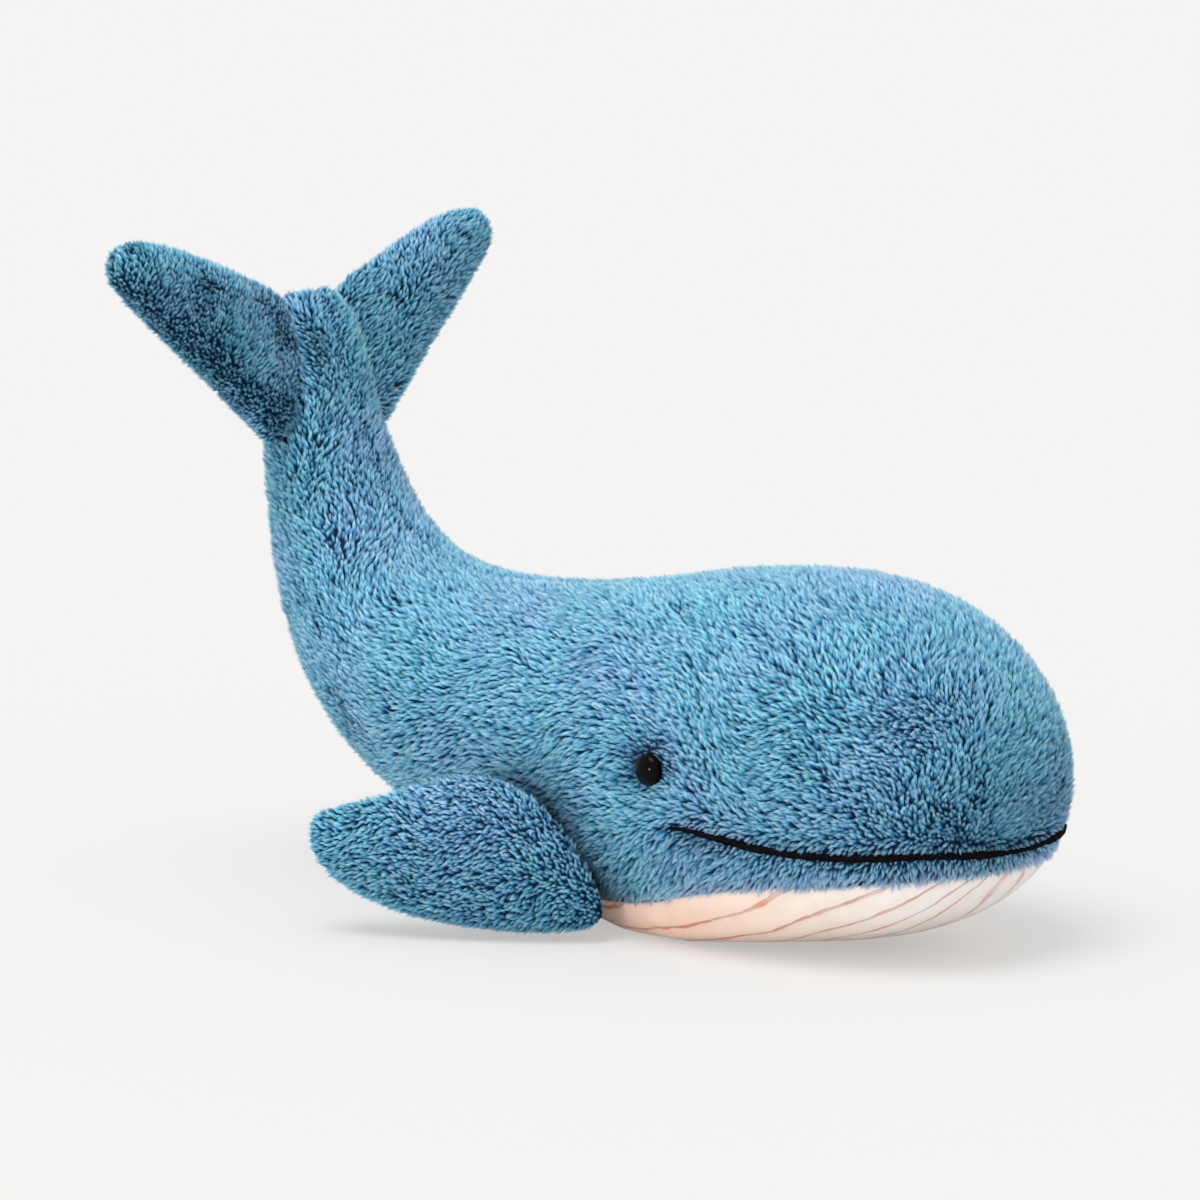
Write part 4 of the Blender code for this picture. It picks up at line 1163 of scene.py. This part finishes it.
def belly_finish():
    finish, tree, shader = principled(
        "cream velour", roughness=0.78, Specular_IOR_Level=0.2, Sheen_Weight=0.35, Sheen_Roughness=0.5
    )
    forward = add_node(tree, "ShaderNodeSeparateXYZ", {0: object_place(tree)}).outputs[0]
    rearward = {"Value": forward, "From Min": CHIN_X, "From Max": REAR_X}
    rearward = add_node(tree, "ShaderNodeMapRange", rearward).outputs[0]
    wavy = maths(tree, "MULTIPLY_ADD", clouds(tree, WAVE_SCALE, 3.0), WAVE_REACH, attribute(tree, "across"))
    beside = maths(tree, "PINGPONG", wavy, 0.5)
    width = maths(tree, "MULTIPLY_ADD", clouds(tree, WIDTH_SCALE), WIDTH_RANGE, WIDTH_LEAST)
    line = band(tree, maths(tree, "SUBTRACT", beside, width), LINE_FULL, LINE_GONE)

    ground = ramp(tree, rearward, CREAM)
    ground = mix(tree, 1.0, ground, ramp(tree, clouds(tree, 60.0, 3.0), CREAM_PATCHES), "MULTIPLY")
    glow = maths(tree, "MULTIPLY", band(tree, beside, 0.0, GLOW_REACH), GLOW_SHARE)
    ground = mix(tree, glow, ground, ramp(tree, rearward, BESIDE_GROOVE))
    strong = maths(tree, "MULTIPLY_ADD", rearward, STRONGER_BEHIND, STRENGTH_AT_CHIN)
    broken = maths(tree, "MULTIPLY", strong, ramp(tree, clouds(tree, 45.0), GROOVE_GAPS))
    faint = maths(tree, "MULTIPLY", line, broken)
    tree.links.new(mix(tree, faint, ground, GROOVE_COLOUR), shader.inputs["Base Color"])

    nap = grain(tree, 1800.0, 2.0, strength=0.25, distance=0.0004)[1]
    sunk = {"Height": maths(tree, "MULTIPLY", line, -1.0), "Strength": 0.7, "Distance": 0.0012, "Normal": nap}
    tree.links.new(add_node(tree, "ShaderNodeBump", sunk).outputs[0], shader.inputs["Normal"])
    return finish


# %% [markdown]
# ## Belly cloth
# The cloth bulges down to the floor under the weight of the filling. How far round the belly a point is
# goes by the belly's half width there, so the grooves keep their number from chin to tail. The forward
# tilt makes them rise towards the chin.

# %% Sew the belly
GROOVES, GROOVE_TILT, TILT_FROM = 6.2, 2.6, 0.0485
VELOUR_THICKNESS, BELLY_SEAM_DEPTH = 0.0012, 0.0008
EDGE_STEPS, EDGE_WINDOW, LEAST_WIDTH = 60, 0.006, 0.004
BELLY_SAG, LOWEST_BELLY = 0.0095, 0.0004
SAG_REAR, SAG_FRONT, SAG_BESIDE = (-0.12, 0.07), (0.075, -0.085), (0.25, 0.75)


def half_width(points, edge):
    """The belly's half width at each point's x, from its sewn edge."""
    edge = edge[np.argsort(edge[:, 0])]
    steps = np.linspace(edge[0, 0], edge[-1, 0], EDGE_STEPS)
    widths = [np.abs(edge[np.abs(edge[:, 0] - x) < EDGE_WINDOW][:, 1]).max() for x in steps]
    return np.interp(points[:, 0], steps, widths)


def sag(points, share):
    """Lets the belly bulge down to the floor beside its middle, in front of the flippers and between them."""
    lengthwise = fade_in(points[:, 0], *SAG_REAR) * fade_in(points[:, 0], *SAG_FRONT)
    beside = np.sin(math.pi * fade_in(share, *SAG_BESIDE) ** 1.6)
    points[:, 2] = np.maximum(points[:, 2] - BELLY_SAG * lengthwise * beside, LOWEST_BELLY)


belly = outer_cloth("belly_panel", "belly_velour", body_walls)
subdivide(belly, 1)
rim = np.array([tuple(point) for point in open_edges(belly.data)])
points = coordinates(belly.data)
share = np.abs(points[:, 1]) / np.maximum(half_width(points, rim), LEAST_WIDTH)
sag(points, share)
move_points(belly, points)
draw_in(belly, seam_distances(belly), BELLY_SEAM_DEPTH)
eased = fade_in(share, 0, 0.5)
tilt = eased ** 2 * (3 - 2 * eased)
forward = points[:, 0] - TILT_FROM
forward = np.where(forward < 0, 0.5 * forward, forward)
store(belly, "across", "FLOAT", GROOVES * (share - GROOVE_TILT * tilt * forward))
apply_modifier(belly, "SOLIDIFY", thickness=VELOUR_THICKNESS, offset=-1, use_rim=True)
belly.data.materials.append(belly_finish())
pick(belly)
bpy.ops.object.shade_smooth()
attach(belly, "body")
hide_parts("belly_panel")
print("belly:", len(belly.data.polygons), "faces")

# %% [markdown]
# ## Eyes
# A safety eye is one piece of black plastic: a polished dome with a small rim, on a post that goes
# through the cloth. A disc is drawn up ring by ring into the dome, and the post is drawn from its flat
# underside. The dome's axis is read from the solid.

# %% Turn the eyes
EYE_RADIUS, EYE_DOME, EYE_RIM, POST_RADIUS, POST_LENGTH = 0.0080, 0.0062, 0.0016, 0.0022, 0.0150
DOME_SEGMENTS, DOME_STEPS = 64, 15
DUST_SCALE, LEAST_GLOSS, MOST_GLOSS = 900.0, 0.06, 0.03
EYE_BLACKS = ((0.3, (0.001, 0.0006, 0.001)), (0.8, (0.003, 0.002, 0.003)))


def eye_frame(node):
    """The dome's foot and axis, read from the solid: its top is furthest from the end of the post."""
    points = sorted({tuple(round(c, 7) for c in vertex.co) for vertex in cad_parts[node].data.vertices})
    points = np.array(points)
    gaps = np.linalg.norm(points[:, None] - points[None], axis=2)
    first, second = np.unravel_index(gaps.argmax(), gaps.shape)
    top = max(points[first], points[second], key=lambda point: abs(point[1]))
    post_end = points[np.linalg.norm(points - top, axis=1) > EYE_DOME + POST_LENGTH - 0.0001].mean(0)
    axis = Vector(top - post_end).normalized()
    return Vector(top) - axis * EYE_DOME, axis


def raise_dome():
    """Draws the selected disc up into a rim and a dome, ring by ring."""
    bpy.ops.mesh.extrude_region_move(TRANSFORM_OT_translate={"value": (0, 0, EYE_RIM)})
    height, wide = EYE_RIM, EYE_RADIUS
    for step in range(1, DOME_STEPS):
        turn = math.radians(90) * step / DOME_STEPS
        higher = EYE_RIM + (EYE_DOME - EYE_RIM) * math.sin(turn)
        radius = EYE_RADIUS * math.cos(turn)
        bpy.ops.mesh.extrude_region_move(TRANSFORM_OT_translate={"value": (0, 0, higher - height)})
        bpy.ops.transform.resize(value=(radius / wide, radius / wide, 1), center_override=(0, 0, 0))
        height, wide = higher, radius


def button_eye(name, node):
    base, axis = eye_frame(node)
    bpy.ops.mesh.primitive_circle_add(vertices=DOME_SEGMENTS, radius=EYE_RADIUS, fill_type="NGON")
    eye = bpy.context.object
    eye.name = name
    bpy.ops.object.mode_set(mode="EDIT")
    bpy.ops.mesh.select_mode(type="FACE")
    bpy.ops.mesh.select_all(action="SELECT")
    raise_dome()
    bpy.ops.mesh.select_all(action="DESELECT")
    bpy.ops.object.mode_set(mode="OBJECT")
    flat = min(eye.data.polygons, key=lambda face: face.center.z)
    flat.select = True
    bpy.ops.object.mode_set(mode="EDIT")
    bpy.ops.mesh.inset(thickness=EYE_RADIUS - POST_RADIUS)
    bpy.ops.mesh.extrude_region_move(TRANSFORM_OT_translate={"value": (0, 0, -POST_LENGTH)})
    bpy.ops.mesh.select_all(action="SELECT")
    bpy.ops.mesh.normals_make_consistent(inside=False)
    bpy.ops.object.mode_set(mode="OBJECT")
    eye.data.transform(Matrix.Translation(base) @ axis.to_track_quat("Z", "Y").to_matrix().to_4x4())
    pick(eye)
    bpy.ops.object.shade_smooth_by_angle(angle=math.radians(35))
    return eye


glossy, tree, shader = principled("black eye", roughness=0.06, Specular_IOR_Level=0.07)
dust = grain(tree, DUST_SCALE, 3.0)[0]
tree.links.new(ramp(tree, dust, EYE_BLACKS), shader.inputs["Base Color"])
rough = {"Value": dust, "To Min": MOST_GLOSS, "To Max": LEAST_GLOSS}
tree.links.new(add_node(tree, "ShaderNodeMapRange", rough).outputs[0], shader.inputs["Roughness"])

for side in SIDES:
    eye = button_eye(f"button_eye_{side}", f"eye_{side}")
    eye.data.materials.append(glossy)
    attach(eye, "body")
    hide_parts(f"eye_{side}")
    print(eye.name, "at", eye_frame(f"eye_{side}")[0])

# %% [markdown]
# ## The point of light
# The photograph shows one small white point in the eye. A weak round lamp makes it. It stands where the
# dome mirrors it to the camera, at the place of the dome that looks halfway between the dome's own axis
# and the camera.

# %% Hang the small lamp
GLINT_DISTANCE, GLINT_WIDTH, GLINT_POWER = 2.9, 0.45, 30.0
middle = (eye_frame("eye_right")[1] + back).normalized()
glint_from = 2 * middle.dot(back) * middle - back
bpy.ops.object.light_add(type="AREA", location=EYE_PLACE["right"] + GLINT_DISTANCE * glint_from)
glint = bpy.context.object
glint.rotation_euler = glint_from.to_track_quat("Z", "Y").to_euler()
glint.data.shape, glint.data.size, glint.data.energy = "DISK", GLINT_WIDTH, GLINT_POWER
glint.visible_camera = False
print("glint from", glint_from)

# %% [markdown]
# ## Stuffing
# Inside are wads of polyester fibre: three in the body and one in each fin. A wad takes the shape of the
# cloth round it, softly lumpy. The copies are drawn in a little, so that they never show through a seam.

# %% Stuff the body and the fins
FIBRE_WHITES = ((0.3, (0.72, 0.72, 0.71)), (0.7, (0.90, 0.90, 0.89)))
BODY_WAD_DEPTH, FIN_WAD_DEPTH = 0.0020, 0.0009
LUMP_SHARE, LUMP_SIZE = 0.7, 0.012

fibre, tree, shader = principled("white fibre", roughness=0.95, Specular_IOR_Level=0.1, Sheen_Weight=0.3)
fluff, slope = grain(tree, 240.0, 6.0, distortion=1.5, strength=0.8, distance=0.0015)
finish_with(tree, shader, fluff, FIBRE_WHITES, slope)


def shrink(piece, depth, lump, size):
    """Draws a piece in by a depth, a little more or less from place to place."""
    points, out = coordinates(piece.data), normals(piece.data)
    rough = np.array([noise.noise(Vector(point) / size) for point in points])
    move_points(piece, points - out * (depth + lump * rough)[:, None])


def wad(node, name, depth, kind="body", side=None):
    piece = copy_of(node, name)
    subdivide(piece, 1)
    shrink(piece, depth, depth * LUMP_SHARE, LUMP_SIZE)
    if kind == "flipper":
        rest_on_floor(piece)
    piece.data.materials.append(fibre)
    pick(piece)
    bpy.ops.object.shade_smooth()
    if kind == "fluke":
        bend_at_root(piece, side)
    else:
        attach(piece, f"{kind}_{side}" if side else kind)
    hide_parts(node)
    print(f"{name}: {len(piece.data.polygons)} faces")


for part in ("head", "trunk", "tail"):
    wad(f"{part}_filling", f"{part}_wad", BODY_WAD_DEPTH)
for side in SIDES:
    for kind in FIN_FACES:
        wad(f"{kind}_filling_{side}", f"{kind}_wad_{side}", FIN_WAD_DEPTH, kind, side)

# %% [markdown]
# ## Pellet pouch and eye washers
# A small cotton pouch of plastic pellets lies in the belly, so that the whale sits down firmly. Behind
# each eye a ribbed plastic washer holds the post. All of it is hidden, and finished as it would be.

# %% Finish the hidden pieces
COTTON = ((0.0, (0.58, 0.55, 0.48)), (1.0, (0.78, 0.76, 0.70)))
PELLET_WHITES_AND_GAP_SHADE = ((0.0, (0.84, 0.84, 0.82)), (0.6, (0.30, 0.30, 0.29)))
PLASTIC_WHITES = ((0.3, (0.70, 0.70, 0.68)), (0.7, (0.80, 0.80, 0.78)))
THREAD_SCALE, PELLET_SCALE = 420.0, 300.0
HEAP_DEPTH, HEAP_LUMP, HEAP_LUMP_SIZE = 0.0010, 0.0009, 0.004

cotton, tree, shader = principled("pouch cotton", roughness=0.85, Specular_IOR_Level=0.2, Sheen_Weight=0.2)
wave = {"Vector": object_place(tree), "Scale": THREAD_SCALE, "Distortion": 0.6}
warp, weft = (
    add_node(tree, "ShaderNodeTexWave", wave, bands_direction=axis).outputs["Fac"] for axis in ("X", "Y")
)
weave = maths(tree, "MULTIPLY", warp, weft)
threads = add_node(tree, "ShaderNodeBump", {"Height": weave, "Strength": 0.5, "Distance": 0.0003})
finish_with(tree, shader, weave, COTTON, threads.outputs[0])

# The pellets are white in their middles, and the gaps between them are painted shade.
beads, tree, shader = principled("plastic pellets", roughness=0.35)
cells = {"Vector": object_place(tree), "Scale": PELLET_SCALE}
grains = add_node(tree, "ShaderNodeTexVoronoi", cells, feature="SMOOTH_F1").outputs["Distance"]
relief = {"Height": grains, "Strength": 1.0, "Distance": 0.0015}
heap = add_node(tree, "ShaderNodeBump", relief, invert=True)
finish_with(tree, shader, grains, PELLET_WHITES_AND_GAP_SHADE, heap.outputs[0])

plastic, tree, shader = principled("washer plastic", roughness=0.4)
moulded, slope = grain(tree, 700.0, 2.0, strength=0.2, distance=0.0002)
finish_with(tree, shader, moulded, PLASTIC_WHITES, slope)

for layer in ("upper", "lower"):
    pouch = copy_of(f"pouch_{layer}_cloth", f"pouch_{layer}_cotton")
    subdivide(pouch, 1)
    pouch.data.materials.append(cotton)
    pick(pouch)
    bpy.ops.object.shade_smooth()
    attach(pouch, "body")
    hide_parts(f"pouch_{layer}_cloth")
pellets = copy_of("pellet_fill", "pellet_heap")
subdivide(pellets, 2)
shrink(pellets, HEAP_DEPTH, HEAP_LUMP, HEAP_LUMP_SIZE)
pellets.data.materials.append(beads)
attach(pellets, "body")
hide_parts("pellet_fill")
for side in SIDES:
    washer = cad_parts[f"eye_washer_{side}"]
    washer.data.materials.clear()
    washer.data.materials.append(plastic)
print("hidden pieces finished")
